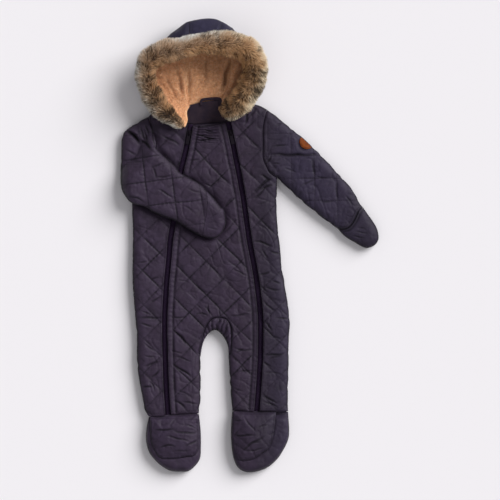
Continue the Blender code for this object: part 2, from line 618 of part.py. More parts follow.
def tube(name, loop, edges, base, quilt, material, seams=(), free=(), sag=None, below=np.zeros((0, 2))):
    """A flat sleeve or mitten: two walls on each other, joined at their folded edges.

    edges are its two folded edges, and the room between the walls runs out past their ends.
    """
    loop = inset(loop, GAP / 2)
    folds = FOLDS.get(name, [])
    special = fill(loop, fold_points(folds), 2.5, 2.0)
    rows = np.vstack([special, spaced(edge_rows(loop, 2.5, 7.5), special, 4.0)])
    grid = fill(loop, quilt_points(loop, **quilt), 4.5, 4.0, kept=rows)
    over = np.vstack([rows, grid])
    special = fill(loop, below, 4.0, 2.0)
    under = np.vstack([special, spaced(edge_rows(loop, 3.0, 10.5), special, 4.0)])
    under = np.vstack([under, fill(loop, square_points(loop, 30.0), 12.0, 12.0, kept=under)])

    def top(points):
        rise = puff(points, **quilt) if sag is None else sag(points) * puff(points, **quilt)
        return base(points) + FRONT_Z + padded_wall(points, free, seams, rise) - folded(points, folds)

    def bottom(points):
        return base(points) + under_side(points, loop)

    made = flat_piece(name, loop, top, bottom, over, under, material)
    first, second = edges
    room = loop_of(lengthened(first, 6), lengthened(second, 6)[::-1])
    spread = fill(room, square_points(room, 30.0), 12.0, 8.0)
    middle = lambda points: base(points) + BACK_WALL
    cutter = flat_piece(name + "_room", room, lambda p: middle(p) + SLOT / 2,
                        lambda p: middle(p) - SLOT / 2, spread, spread, material)
    changed(made, cutter, "DIFFERENCE")
    return made, top


BODY_EDGE = curve([(-163, 170), (-172, 147), (-186, 128), (-202, 117), (-205, 93), (-205, 66)], 8.0)


def folded_base(points):
    """How high the folded sleeve lies: on the body, and down to the surface outside it."""
    on_body = inside(points, loop_of(BODY_EDGE, np.array([(-205.0, 0.0), (0.0, 0.0), (0.0, 170.0)])))
    away = np.where(on_body, 0, distance_to(points, BODY_EDGE))
    return SLEEVE_LIFT * (1 - np.clip((away - 1) / 26, 0, 1) ** 1.5)


def make_sleeves(quilted, plain):
    inner, outer, cuff = curve(SLEEVE_R_INNER, STEP), curve(SLEEVE_R_OUTER, STEP), curve(CUFF_R, STEP)
    tube("sleeve_r", sleeve_r_loop, (beside(inner, -TUBE_SEAM), beside(outer, TUBE_SEAM)),
         folded_base, QUILTS["sleeve_r"], quilted, seams=[armhole_r[:5], cuff], free=[inner, outer],
         below=np.vstack([beside(BODY_EDGE, -away) for away in (1.0, 9.0, 18.0, 27.0, -8.0)]))
    round_mitten = curve(MITTEN_R, 10.0)
    middle = len(round_mitten) // 2
    tube("mitten_r", mitten_r_loop,
         (beside(round_mitten[:middle], -TUBE_SEAM)[:-1], beside(round_mitten[:middle:-1], TUBE_SEAM)[:-1]),
         folded_base, QUILTS["sleeve_r"], plain, seams=[cuff], free=[round_mitten], sag=lambda p: 0.4)

    upper, lower, cuff = curve(SLEEVE_L_UPPER, STEP), curve(SLEEVE_L_LOWER, STEP), curve(CUFF_L, STEP)
    loop = loop_of(upper, cuff[::-1], lower[::-1], armhole_l[::-1])
    bare = lambda p: ease((np.linalg.norm(p - PATCH_CENTRE, axis=1) - PATCH_RADIUS - 4) / 8)
    _, top = tube("sleeve_l", loop, (beside(upper, -TUBE_SEAM), beside(lower, TUBE_SEAM)),
                           level(0), QUILTS["sleeve_l"], quilted, seams=[armhole_l, cuff],
                           free=[upper, lower], sag=bare)
    make_patch(loop, top)
    mitten = curve(MITTEN_L, 10.0)
    middle = len(mitten) // 2
    tube("mitten_l", loop_of(mitten, cuff), (beside(mitten[:middle], -TUBE_SEAM)[:-1],
         beside(mitten[:middle:-1], TUBE_SEAM)[:-1]), level(0), QUILTS["sleeve_l"], plain,
         seams=[cuff], free=[mitten], sag=lambda p: 0.4)


def make_patch(sleeve_loop, sleeve_top):
    """A round leather patch on the sleeve, trimmed where it would pass over the edge."""
    leather = fabric("Veg-tanned leather", "8a4526", 0.5)
    angles = np.linspace(0, 2 * math.pi, 25)[:-1]
    circle = np.stack([np.cos(angles), np.sin(angles)], 1)
    loop = PATCH_CENTRE + PATCH_RADIUS * circle
    edge = ring(inset(sleeve_loop, PATCH_EDGE))
    start, along = edge[:-1], np.diff(edge, axis=0)
    for k, point in enumerate(loop):
        if not inside(point[None], start)[0]:
            t = np.clip(((point - start) * along).sum(1) / (along * along).sum(1), 0, 1)
            near = start + t[:, None] * along
            loop[k] = near[np.linalg.norm(near - point, axis=1).argmin()]
    loop = loop_of(loop)
    rings = np.vstack([PATCH_CENTRE + PATCH_RADIUS * r * circle[::2] for r in (0.05, 0.35, 0.6, 0.82)])
    within = fill(loop, rings, 3.0, 1.5)
    flat_piece("patch", loop, lambda p: sleeve_top(p) + PATCH_LIFT + PATCH_WALL,
               lambda p: sleeve_top(p) + PATCH_LIFT, within, within, leather)


def make_bootie(side, foot, upper, hem, cloth, sole_cloth):
    """An upper sewn into a padded sole, which shows as a rim at the toe and the outer side."""
    sole_wall, upper_z = 13.0, 13.3
    folds = FOLDS["foot_upper_" + side]
    hem = curve(hem, STEP) - [0, 0.6]
    foot, upper = curve(foot, STEP), curve(upper, STEP)
    across = np.sort(upper[[0, -1], 0]) + [3, -3]
    whole = inset(loop_of(foot, hem[1:-1] if foot[-1][0] < foot[0][0] else hem[-2:0:-1]), GAP / 2)
    hem_inside = hem[(hem[:, 0] > across[0]) & (hem[:, 0] < across[1])]
    loop = loop_of(upper, hem_inside if upper[-1][0] < upper[0][0] else hem_inside[::-1])
    seam_line = ring(loop)

    def sole_top(points):
        out = np.where(inside(points, loop), 0, distance_to(points, seam_line))
        rim = 11.0 * ease((out - 0.4) / 5) * rounded(distance_to(points, ring(whole)) / 6)
        rim *= ease((distance_to(points, hem) - 5) / 12)
        return sole_wall + rim - (sole_wall - 9) * (1 - rounded(distance_to(points, foot) / 5))

    def upper_top(points):
        crown = 9.0 * ease(distance_to(points, seam_line) / 34)
        hem_dip = 4.0 * (1 - ease(distance_to(points, hem) / 8))
        return upper_z + 10.0 + crown - hem_dip - folded(points, folds)

    outline = inset(loop, -0.4)
    trough = fill(whole, outline, 2.0, 1.5)
    rim = fill(whole, np.vstack([edge_rows(whole, 2.0, 5.5), inset(loop, -5)]), 3.5, 1.5, kept=trough)
    trough = np.vstack([trough, rim[~inside(rim, outline)]])
    over = np.vstack([trough, fill(whole, square_points(whole, 24.0), 9.0, 6.0, kept=trough)])
    under = edge_rows(whole, 3.0, 10.5)
    under = np.vstack([under, fill(whole, square_points(whole, 40.0), 12.0, 12.0, kept=under)])
    flat_piece("foot_sole_" + side, whole, sole_top, lambda p: under_side(p, whole, 9.0), over, under,
               sole_cloth)
    loop = inset(loop, GAP)
    special = fill(loop, fold_points(folds), 2.5, 2.0)
    rows = np.vstack([special, spaced(edge_rows(loop, 3.0, 9.0), special, 4.0)])
    over = np.vstack([rows, fill(loop, square_points(loop, 13.0), 7.0, 5.0, kept=rows)])
    flat_piece("foot_upper_" + side, loop, upper_top, level(upper_z), over, rows[:0], cloth)


def evenly(points, count):
    """The same number of points along every section, whatever its length."""
    fine = curve(points, 1.0)
    at = np.linspace(0, len(fine) - 1, count)
    return np.stack([np.interp(at, np.arange(len(fine)), column) for column in fine.T], 1)


def along_seam(row, places):
    """Points on a crown row, at shares of its length from the neck to the fur."""
    fine = evenly(row, 60)
    return np.stack([np.interp(1 - places, np.linspace(0, 1, 60), column) for column in fine.T], 1)


def side_panel(rows, seam_row):
    """A hood side: a section for each shared seam place, and the seam's own end as the last."""
    table = np.array([[*edge, *bulge, *foot, place] for edge, bulge, foot, place in rows])
    sections = []
    for place, end in zip(SEAM_PLACES, along_seam(seam_row, np.array(SEAM_PLACES))):
        row = [np.interp(place, table[:, -1], column) for column in table.T[:-1]]
        sections.append(evenly([row[:3], row[3:6], row[6:], end], len(SEAM_END)))
    sections.append(along_seam(seam_row, SEAM_END[::-1]))
    return np.array(sections)


def share_seam(side, side_normals, crown_edge, crown_normals):
    """Gives a side and the crown one normal along their seam, and parts them by HOOD_SEAM."""
    last = len(SEAM_PLACES)
    places = [(k, -1) for k in range(last)] + [(last, k) for k in range(len(SEAM_END) - 1, -1, -1)]
    rows, columns = np.array(places).T
    normal = side_normals[rows, columns] + crown_normals
    normal /= np.linalg.norm(normal, axis=1)[:, None]
    out = np.cross(normal, np.gradient(crown_edge, axis=0))
    out /= np.linalg.norm(out, axis=1)[:, None]
    out *= np.sign((out[3] * (side[3, 0] - crown_edge[3])).sum())
    side_normals[rows, columns] = normal
    crown_normals[:] = normal
    side[rows, columns] += out * HOOD_SEAM / 2
    crown_edge -= out * HOOD_SEAM / 2


def make_hood(cloth, fleece, fur):
    places = np.concatenate([SEAM_PLACES, SEAM_END])
    crown = np.array([along_seam(row, places) for row in CROWN_ROWS])
    crown = np.array([evenly(crown[:, k], 7) for k in range(crown.shape[1])]).transpose(1, 0, 2)
    right, left = side_panel(HOOD_SIDE_R, CROWN_ROWS[0]), side_panel(HOOD_SIDE_L, CROWN_ROWS[-1])
    panels = (right, crown, left)
    for grid in panels:
        grid[..., 2] = np.maximum(grid[..., 2], 0)
    normals = [grid_normals(grid, HOOD_INSIDE) for grid in panels]
    share_seam(right, normals[0], crown[0], normals[1][0])
    share_seam(left, normals[2], crown[-1], normals[1][-1])
    for grid in panels:
        grid[..., 2] = np.maximum(grid[..., 2], 0)
    for grid, normal, shell, lining in zip(panels, normals, ("hood_side_r", "hood_crown", "hood_side_l"),
                                           ("lining_r", "lining_center", "lining_l")):
        normal /= np.linalg.norm(normal, axis=2)[..., None]
        thickened(shell, grid, normal, HOOD_SHELL, cloth)
        thickened(lining, grid, normal, HOOD_LINING, fleece)
    path = curve(FUR_ROWS, FUR_STEP)
    turns = np.linspace(0, 2 * math.pi, FUR_SIDES, endpoint=False)
    section = np.stack([np.cos(turns), FUR_FLATTEN * (1 + np.sin(turns))], 1)
    widths = path[:, 3] * (1 + 0.05 * np.cos(np.arange(len(path)) * 2.4))
    strip("fur_trim", path[:, :2], section, fur, heights=path[:, 2], widths=widths)


def make_neck(jersey, tape):
    loop = loop_of(np.array(FACING, float))
    flat_piece("neck_facing", loop, level(FACING_Z[1]), level(FACING_Z[0]), loop[:0], loop[:0], jersey)
    wide, high = LOOP_HALF
    route = curve(LOOP_ROUTE, 3.5)
    section = [(-wide, -high), (wide, -high), (wide, high), (-wide, high)]
    strip("hang_loop", route, section, tape, heights=np.full(len(route), LOOP_Z))


def block(name, size, material, round_by=0.0):
    made = bmesh.new()
    bmesh.ops.create_cube(made, size=1)
    bmesh.ops.scale(made, vec=Vector(size) * MM, verts=made.verts)
    if round_by:
        upright = [e for e in made.edges if abs(e.verts[0].co.z - e.verts[1].co.z) > size[2] * MM / 2]
        bmesh.ops.bevel(made, geom=upright, offset=round_by * MM, segments=3, affect="EDGES", profile=0.5)
    mesh = bpy.data.meshes.new(name)
    made.to_mesh(mesh)
    made.free()
    mesh.materials.append(material)
    made = bpy.data.objects.new(name, mesh)
    bpy.context.scene.collection.objects.link(made)
    return made


def make_slider(side, path, metal):
    """A slider on its zip, and a pull tab that hangs on the slider's bridge."""
    at = np.array([np.interp(-SLIDER_Y, -path[:, 1], path[:, 0]), SLIDER_Y])
    near = np.linalg.norm(path - at, axis=1).argmin()
    ahead = path[min(near + 1, len(path) - 1)] - path[max(near - 1, 0)]
    turn = math.atan2(ahead[1], ahead[0]) + math.pi / 2
    place = lambda z: Matrix.Translation(Vector((*at, z)) * MM) @ Matrix.Rotation(turn, 4, "Z")
    plate_z = CHAIN_TOP + GAP
    body = block("slider_" + side, (PLATE["width"], PLATE["length"], PLATE["height"]), metal, 2.0)
    body.matrix_world = place(plate_z + PLATE["height"] / 2)
    plate_top = plate_z + PLATE["height"]

    reach, rise = BRIDGE["reach"], BRIDGE["rise"]
    hoop = bpy.data.curves.new("bridge_" + side, "CURVE")
    hoop.dimensions = "3D"
    hoop.bevel_depth = BRIDGE["radius"] * MM
    hoop.bevel_resolution = 1
    hoop.use_fill_caps = True
    spline = hoop.splines.new("POLY")
    route = [(-reach, -1.0), (-reach, rise * 0.6), (-reach * 0.6, rise), (reach * 0.6, rise),
             (reach, rise * 0.6), (reach, -1.0)]
    spline.points.add(len(route) - 1)
    for point, (y, z) in zip(spline.points, route):
        point.co = (0, y * MM, z * MM, 1)
    guide = bpy.data.objects.new("bridge_" + side, hoop)
    bpy.context.scene.collection.objects.link(guide)
    bpy.context.view_layer.update()
    solid = bpy.data.meshes.new_from_object(guide.evaluated_get(bpy.context.evaluated_depsgraph_get()))
    bpy.data.objects.remove(guide)
    bridge = bpy.data.objects.new("bridge_" + side, solid)
    bpy.context.scene.collection.objects.link(bridge)
    bridge.matrix_world = place(plate_top)
    changed(body, bridge, "UNION")

    window_wide, window_long = TAB["window"]
    axis_z = plate_top + TAB["axis_rise"]
    tab = block("pull_" + side, (TAB["width"], TAB["length"], TAB["thickness"]), metal, 1.5)
    tab.data.transform(Matrix.Translation(Vector((0, -TAB["length"] / 2 + TAB["rail"] / 2, 0)) * MM))
    tab.matrix_world = place(axis_z)
    window = block("window_" + side, (window_wide, window_long, 5), metal)
    window.matrix_world = place(axis_z) @ Matrix.Translation(
        Vector((0, -TAB["rail"] / 2 - window_long / 2, 0)) * MM)
    changed(tab, window, "DIFFERENCE")


def main():
    for made in list(bpy.data.objects):
        bpy.data.objects.remove(made)
    quilted = fabric("Quilted polyester, navy", "3a3343", 0.6)
    plain = fabric("Polyester, navy", "37323f", 0.55)
    lining = fabric("Borg fleece", "a87453", 0.95)
    fur = fabric("Faux fur", "6b5340", 0.95)
    tape = fabric("Zip tape and coil", "1c1620", 0.55)
    jersey = fabric("Cotton jersey", "241e2c", 0.85)
    metal = fabric("Black lacquered zinc", "151318", 0.35, 0.6)
    make_back(quilted)
    make_front(quilted, plain)
    make_zip("zip_r", zip_r, tape)
    make_zip("zip_l", zip_l, tape)
    make_sleeves(quilted, plain)
    make_bootie("r", FOOT_R, UPPER_R, HEM_R, plain, plain)
    make_bootie("l", FOOT_L, UPPER_L, HEM_L, plain, plain)
    make_hood(plain, lining, fur)
    make_neck(jersey, tape)
    make_slider("r", zip_r, metal)
    make_slider("l", zip_l, metal)


main()
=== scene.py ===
import math

import bpy
import numpy as np
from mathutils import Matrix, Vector
from mathutils.geometry import delaunay_2d_cdt


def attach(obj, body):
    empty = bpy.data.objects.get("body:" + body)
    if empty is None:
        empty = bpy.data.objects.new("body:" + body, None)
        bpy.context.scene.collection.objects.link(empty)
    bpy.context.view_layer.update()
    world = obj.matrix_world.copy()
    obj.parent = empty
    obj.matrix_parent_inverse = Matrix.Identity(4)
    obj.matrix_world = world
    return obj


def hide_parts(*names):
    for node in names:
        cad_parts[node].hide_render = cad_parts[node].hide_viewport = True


# A quilted, footed baby snowsuit, laid flat: the cloth, fur, fleece, zips and sewing.
# The tables are in millimetres, +X to the wearer's left, +Y to the head, on z = 0.

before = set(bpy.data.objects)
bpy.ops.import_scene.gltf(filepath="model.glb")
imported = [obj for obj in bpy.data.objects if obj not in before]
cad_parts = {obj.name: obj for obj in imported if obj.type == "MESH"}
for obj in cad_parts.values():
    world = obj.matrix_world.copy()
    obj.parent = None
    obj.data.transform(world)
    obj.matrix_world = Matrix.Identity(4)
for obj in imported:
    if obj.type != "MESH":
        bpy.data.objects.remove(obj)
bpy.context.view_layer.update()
scene = bpy.context.scene
MM = 0.001

# The camera looks straight down. These three are in metres.
VIEW_WIDTH = 0.875
VIEW_REACH = 20
VIEW_FROM = (0.0012, -0.00875, 3.0)

camera = bpy.data.objects.new("camera", bpy.data.cameras.new("camera"))
scene.collection.objects.link(camera)
camera.data.type = "ORTHO"
camera.data.ortho_scale = VIEW_WIDTH
camera.data.clip_end = VIEW_REACH
camera.location = VIEW_FROM
scene.camera = camera

# Walls and clearances.
GAP = 0.3  # between pieces that are sewn together
BACK_WALL = 10.0
FRONT_Z = BACK_WALL + GAP
STITCH_WALL = 9.7  # the front's thickness at a quilted line, and at a seam and a free edge
SEAM_WALL = 8.2
EDGE_WALL = 1.5
PUFF = 2.6  # how far the padding rises between the quilted lines
PRESSED = 2.2  # how much flatter the front is under the folded sleeve
EDGE_ROUND = 16.0  # how far in the rounding reaches, at a free edge, under one and at a seam
UNDER_ROUND = 11.0
SEAM_ROUND = 4.5
STEP = 3.0  # between the points of an outline
APART = 1.2  # the least distance between two of them
FINE = 1.45  # between the points of a top face
COARSE = 14.0  # and of a face that lies hidden between two pieces
ROW_SHARE = 0.866  # rows that are this share of their points' spacing apart make even triangles

# The quilting's two families of sewn lines: where a pair crosses, their turn and spacings,
# and the stretches that are pulled in most, as two ends each. Elsewhere they lie faint.
# strength is how hard all of a piece's lines pull, where it isn't 1.
QUILTS = {
    "front_center": dict(cross=(-76, -29), turn=-45, pitch=(43.3, 41.8), pulled=[
        (-121, 5, -83, -32), (-83, -32, -46, -67), (-46, -67, 7, -111), (-127, -35, -101, -55),
        (-101, -55, -80, -82), (-80, -82, -57, -105), (-130, -90, -83, -140), (-57, 9, -5, -41),
        (-130, -152, -99, -184), (-51, 4, -22, 29), (-40, -117, 1, -79), (-118, -134, -104, -120),
        (-22, -160, 1, -134), (-20, -140, 4, -163), (-97, 169, -48, 124), (-45, 64, -27, 79),
        (-65, 104, -43, 119), (-130, -215, -102, -236), (-134, -257, -102, -236),
        (-29, -166, -2, -187), (-29, -228, 1, -198), (-30, -201, -6, -226)]),
    "front_side_r": dict(cross=(-157, -14), turn=-45, pitch=(43.3, 42.0), pulled=[
        (-180, 6, -156, -12), (-156, -13, -183, -40), (-183, -44, -165, -61),
        (-151, -58, -180, -90), (-180, -70, -156, -90), (-153, -88, -174, -108),
        (-183, -117, -160, -136),
        (-156, -145, -177, -169), (-151, 166, -125, 140)]),
    "front_side_l": dict(cross=(-10, 75), turn=-45, pitch=(43.3, 43.0), pulled=[
        (-18, 147, 8, 121), (-15, 191, 2, 211), (-6, 200, 12, 178), (2, 60, 37, 29),
        (24, -134, 41, -152), (8, 16, 22, 30)]),
    "sleeve_r": dict(cross=(-182, 110), turn=7.5, pitch=(47.0, 42.5), strength=0.75, pulled=[
        (-207, 150, -153, 154), (-207, 107, -183, 110), (-183, 110, -114, 119),
        (-176, 68, -130, 74), (-130, 74, -72, 89), (-184, 147, -181, 98), (-135, 117, -128, 74),
        (-128, 74, -125, 46)]),
    "sleeve_l": dict(cross=(113.5, 117), turn=1, pitch=(40.0, 39.5), strength=0.42, pulled=[
        (113, 145, 113, 117), (92, 117, 120, 117), (153, 114, 153, 82)]),
    "back": dict(cross=(-76, -29), turn=-45, pitch=(43.3, 41.8), pulled=[]),
}

# Folds pressed into the padding: ends of each, its depth and half width.
FOLDS = {
    "sleeve_r": [((-213, 199), (-194, 181), 3.5, 5.0), ((-189, 181), (-176, 169), 3.2, 4.0),
                 ((-184, 205), (-177, 176), 3.0, 4.5)],
    "sleeve_l": [((34, 158), (112, 160), 3.0, 4.0), ((36, 146), (50, 128), 3.0, 4.0)],
    "front_side_l": [((22, 122), (46, 108), 3.0, 4.0), ((-2, 240), (-4, 214), 3.0, 4.0),
                     ((10, 238), (2, 218), 3.0, 4.0)],
    "front_side_r": [((-148, 211), (-118, 190), 3.0, 4.0)],
    "foot_upper_r": [((-168, -327), (-98, -324), 2.5, 5.0)],
    "foot_upper_l": [((-24, -350), (-4, -362), 2.0, 4.0)],
}
# Creases: two ends, how far the middle bends aside, depth and half width.
CREASES = {
    "front_side_r": [(-155, 192, -121, 173, 1.8, 2.6, 2.6), (-153, 178, -141, 189, 0, 1.6, 2),
        (-197, -30, -177, -30, 0, 1.6, 2.4), (-174, -63, -158, -56, 1.8, 1.8, 2.2),
        (-174, -103, -151, -88, 1.8, 2, 2.4), (-197, -126, -148, -126, -1.8, 2.4, 2.8),
        (-190, -114, -172, -124, 0, 1.8, 2.2), (-193, -138, -170, -144, 1.8, 2.2, 2.4),
        (-186, -170, -163, -189, 0, 1.6, 2.2), (-186, -214, -155, -205, 1.8, 2.2, 2.6),
        (-174, -234, -155, -217, 0, 2.2, 2.4), (-186, -194, -163, -196, 0, 1.6, 2),
        (-188, -250, -170, -247, 0, 2.6, 2.8), (-176, -238, -165, -257, 1.8, 1.8, 2.2),
        (-151, 156, -128, 136, 1.8, 2, 2.4)],
    "front_center": [(-99, 205, -55, 208, 1.8, 3.4, 2.4), (-95, 194, -58, 187, -1.8, 3.4, 2.4),
        (-92, 182, -55, 184, 1.8, 2.8, 2.4), (-81, 200, -62, 198, 0, 2.6, 2),
        (-104, 147, -85, 149, 1.8, 1.6, 2.2), (-79, 108, -64, 102, 0, 1.6, 2.2),
        (-46, 66, -27, 84, 0, 1.8, 2.4), (-48, 60, -34, 42, -1.8, 2, 2.4),
        (-50, 12, -20, 46, 1.8, 1.6, 2.2), (-41, -23, -8, -52, 0, 1.5, 2.4),
        (-32, -42, -2, -54, 0, 1.6, 2), (-120, -12, -104, 4, 0, 1.2, 2),
        (-95, -121, -71, -124, 1.8, 2.2, 2.2), (-137, -128, -111, -126, 0, 2, 2.4),
        (-36, -126, 3, -122, 1.8, 2, 2.4), (-72, -102, -71, -124, 0, 2.2, 1.8),
        (-81, -107, -62, -128, 1.8, 1.8, 2), (-55, -110, -48, -131, 0, 2, 1.8),
        (-95, -102, -81, -116, 0, 1.5, 2), (-37, -135, -23, -156, 0, 1.8, 2.2),
        (-134, -149, -107, -177, 1.8, 2.8, 2.8), (-137, -208, -99, -234, 1.8, 2.8, 2.8),
        (-134, -271, -111, -287, 1.8, 2.4, 2.4), (-120, -275, -88, -278, 0, 1.9, 2.2),
        (-137, -186, -116, -189, 0, 1.6, 2.2), (-132, -196, -100, -205, 1.8, 1.8, 2.4),
        (-30, -180, 8, -184, -1.8, 2, 2.4), (-25, -191, -6, -178, 0, 1.6, 2.2),
        (-18, -222, 6, -219, 0, 1.8, 2.2), (-16, -212, -6, -224, 0, 1.4, 2),
        (-29, -250, -11, -256, 0, 1.4, 2.2), (-128, -61, -104, -68, 1.8, 1.4, 2.2),
        (-78, -30, -41, -68, 1.8, 1.2, 2.2), (-109, -80, -93, -98, 0, 1.2, 2),
        (-128, -254, -104, -266, 1.8, 1.4, 2.2), (-29, -158, -4, -147, 1.8, 1.2, 2.2)],
    "front_side_l": [(-4, 245, -9, 208, 1.8, 2.6, 2.6), (12, 242, -6, 214, 0, 2, 2.4),
        (8, 90, 42, 117, 3.5, 3.4, 3.2), (16, 96, 43, 104, 1.8, 2.8, 2.8),
        (8, 80, 28, 100, 0, 2.4, 2.6), (22, 124, 36, 112, 0, 2.4, 2.6),
        (5, 7, 43, -4, 1.8, 2.8, 2.6),
        (34, -10, 55, -16, 0, 2.2, 2.4), (20, -7, 34, -24, 0, 1.8, 2.2),
        (13, -54, 38, -44, -1.8, 2.6, 2.4), (13, -66, 34, -84, 0, 2, 2.2),
        (27, -75, 55, -80, 0, 2.2, 2.4), (38, -63, 55, -68, 0, 2, 2.2),
        (20, -94, 47, -119, 0, 1.8, 2.4), (26, -133, 41, -150, 0, 2.2, 2.4),
        (47, -128, 69, -131, 1.8, 2.2, 2.4), (24, -192, 64, -189, -1.8, 2.8, 2.6),
        (22, -201, 38, -214, 0, 2, 2.2), (31, -200, 55, -194, 0, 1.8, 2),
        (22, -257, 52, -278, -3.5, 2.2, 2.6), (22, -273, 52, -287, 1.8, 1.8, 2.2),
        (29, -159, 59, -168, 1.8, 1.4, 2.4), (15, 70, 33, 79, 0, 1.4, 2.2),
        (8, 42, 33, 23, 1.8, 1.2, 2.4), (22, -222, 61, -229, 1.8, 1.2, 2.6)],
    "sleeve_r": [(-216, 201, -191, 176, 3.2, 5.4, 4.0), (-212, 199, -194, 181, 2.6, 3.2, 3.2),
        (-190, 184.5, -172, 167, 1.0, 4.8, 3.0), (-191, 209, -186, 184, 1.2, 2.6, 2.8),
        (-183, 213, -174, 189, -1, 2.4, 2.8),
        (-184, 206, -174, 168, -1.8, 2.8, 2.6), (-172, 220, -163, 168, -1.8, 2.8, 2.6),
        (-191, 198, -181, 173, 1.8, 2, 2.2), (-176, 212, -160, 189, 0, 1.8, 2.2),
        (-174, 133, -146, 144, 1.8, 1.8, 2.4), (-169, 117, -132, 122, 0, 1.6, 2.4),
        (-163, 98, -134, 82, 1.8, 2, 2.6), (-170, 138, -162, 116, 0, 1.8, 2.4),
        (-218, 166, -197, 156, 1.8, 1.6, 2.6), (-216, 86, -181, 74, 1.8, 2, 2.8),
        (-120, 70, -93, 54, 1.8, 1.2, 2.6), (-207, 144, -181, 147, 0, 1.3, 2.2),
        (-111, 100, -81, 89, 0, 1.2, 2.6)],
    "sleeve_l": [(36, 159, 125, 159, -1.8, 3.2, 2.8), (38, 159, 24, 136, 1.8, 2.2, 2.4),
        (38, 170, 69, 175, 1.8, 2, 2.2), (38, 142, 55, 142, 0, 1.8, 2),
        (108, 152, 113, 119, 1.8, 2, 2.4), (115, 119, 143, 117, 0, 1.7, 2.4),
        (90, 103, 117, 114, 1.8, 1.6, 2.4), (122, 75, 152, 74, 1.8, 1.8, 2.4),
        (153, 110, 153, 77, 0, 1.6, 2.4), (41, 206, 68, 215, 1.8, 1.4, 2.4),
        (29, 138, 45, 122, -1.8, 2.6, 2.4), (59, 135, 82, 126, 1.8, 1.4, 2.4),
        (167, 89, 180, 66, 1.8, 1.4, 2.4), (89, 74, 110, 79, 0, 1.2, 2.2),
        (134, 149, 155, 128, 1.8, 1.2, 2.6)],
    "hood_crown": [(-49, 390, -55, 370, 1.5, 2.4, 3.6), (-98, 388, -103, 366, -1.5, 1.4, 4.0)],
    "mitten_l": [(183, 23, 208, 21, 0, 1.6, 1.8), (178, 16, 204, 10, 1.8, 1.6, 1.8),
        (188, 30, 204, 28, 0, 1.2, 1.6), (167, 23, 180, 28, 0, 1.2, 1.6)],
    "mitten_r": [(-71, 46, -53, 54, 1.8, 1.2, 1.8), (-74, 30, -55, 28, 0, 1.2, 1.8)],
    "foot_upper_r": [(-169, -326, -128, -324, 1.8, 2.4, 2.6),
        (-135, -324, -90, -327, -3.5, 2.6, 2.6),
        (-151, -334, -102, -346, 1.8, 2, 2.4), (-114, -352, -90, -340, -1.8, 2.2, 2.4),
        (-160, -355, -128, -354, 3.5, 2.4, 2.4), (-114, -313, -92, -322, 0, 1.6, 2.2),
        (-139, -362, -100, -359, 0, 1.2, 2.4), (-128, -304, -141, -318, 0, 1.2, 2)],
    "foot_upper_l": [(-29, -332, 12, -332, -1.8, 2.8, 2.4), (-29, -308, -9, -306, 0, 1.8, 2.2),
        (-11, -299, 12, -329, 0, 1.8, 2.2), (-16, -362, 29, -334, 1.8, 2.8, 2.6),
        (-11, -360, 27, -355, -1.8, 2, 2.2), (13, -324, 34, -313, 1.8, 1.8, 2.2),
        (-16, -322, -29, -336, 0, 1.4, 2), (1, -348, 22, -343, 0, 1.4, 2)],
    "back": [(-195, 60, -150, 40, 3, 1.6, 3), (-120, 190, -60, 200, 3, 1.5, 3),
        (-30, 130, 20, 100, 2, 1.6, 3), (-180, -60, -120, -75, 3, 1.5, 3),
        (0, -40, 50, -60, 2, 1.5, 3), (-150, -180, -110, -200, 2, 1.6, 3),
        (10, -180, 55, -195, 3, 1.6, 3), (-90, 20, -50, -10, 3, 1.4, 3)],
}
# The fleece's folds, down the hood, in the same terms. A depth below zero is a ridge.
LINING_FOLDS = [
    (-14, 328, -33, 262, -4, -3.4, 8.0), (-27, 332, -46, 264, -4, 5.6, 5.4),
    (-112, 322, -108, 250, 4, 2.2, 6.5), (-122, 322, -112, 250, 3, -3.2, 6.5),
    (-130, 318, -118, 255, 3, 2.4, 5), (-75, 330, -80, 270, 2, 1.5, 6),
    (-150, 300, -128, 248, 3, 2.0, 5), (-92, 325, -92, 262, -2, -1.5, 7),
    (-165, 290, -140, 262, 2, 1.6, 5), (-5, 318, -18, 276, -2, 1.0, 6),
]
# The gathers at the neck: the corners of their field, their spacing, depth and rise.
GATHERS = dict(low=(-97, 176), high=(-52, 212), pitch=8.5, depth=2.3, rise=2.2)
GUSSET_GATHERS = 12
GUSSET_MIDDLE = (-60, -187)

ZIP_HALF = 4.5
PLACKET = 9.5  # the plain strip beside a zip
SLEEVE_LIFT = FRONT_Z + 7.8  # the folded sleeve's under side, where it lies on the chest
TUBE_SEAM = 5.0  # from a tube's outline to the hollow inside it

# Lines that the cut pieces share.
ZIP_R = [(-103, 211), (-111, 166), (-120, 128), (-127, 82), (-133, 40), (-138, 9), (-141, -26),
         (-145, -70), (-148, -131), (-147, -201), (-145, -254), (-142, -298)]
ZIP_L = [(-37, 215), (-30, 184), (-23, 149), (-16, 114), (-10, 79), (-5, 44), (0, 9), (5, -18),
         (10, -44), (15, -79), (19, -117), (20, -158), (19, -205), (16, -254), (13, -292)]
SIDE_R = [(-202, 117), (-205, 93), (-205, 58), (-204, 9), (-205, -33), (-204, -79), (-200, -124),
          (-197, -166), (-197, -201), (-193, -236), (-188, -264), (-183, -289), (-176, -300)]
SIDE_L = [(49, 117), (48, 72), (50, 30), (54, -2), (56, -30), (62, -68), (68, -107),
          (71, -135), (69, -166), (69, -208), (68, -254), (68, -291)]
ARMHOLE_R = [(-176, 225), (-169, 201), (-165, 187), (-163, 170), (-172, 147), (-186, 128),
             (-202, 117)]
ARMHOLE_L = [(31, 237), (24, 206), (24, 177), (24, 152), (31, 135), (36, 126), (49, 117)]
SHOULDER_R = [(-163, 231), (-170.5, 230), (-176, 225)]
SHOULDER_L = [(3, 248), (19, 243.5), (31, 237)]
NECK_R = [(-163, 231), (-142, 225), (-125, 221), (-112, 212)]
NECK_L = [(3, 248), (-11, 239), (-27, 229), (-33, 217)]
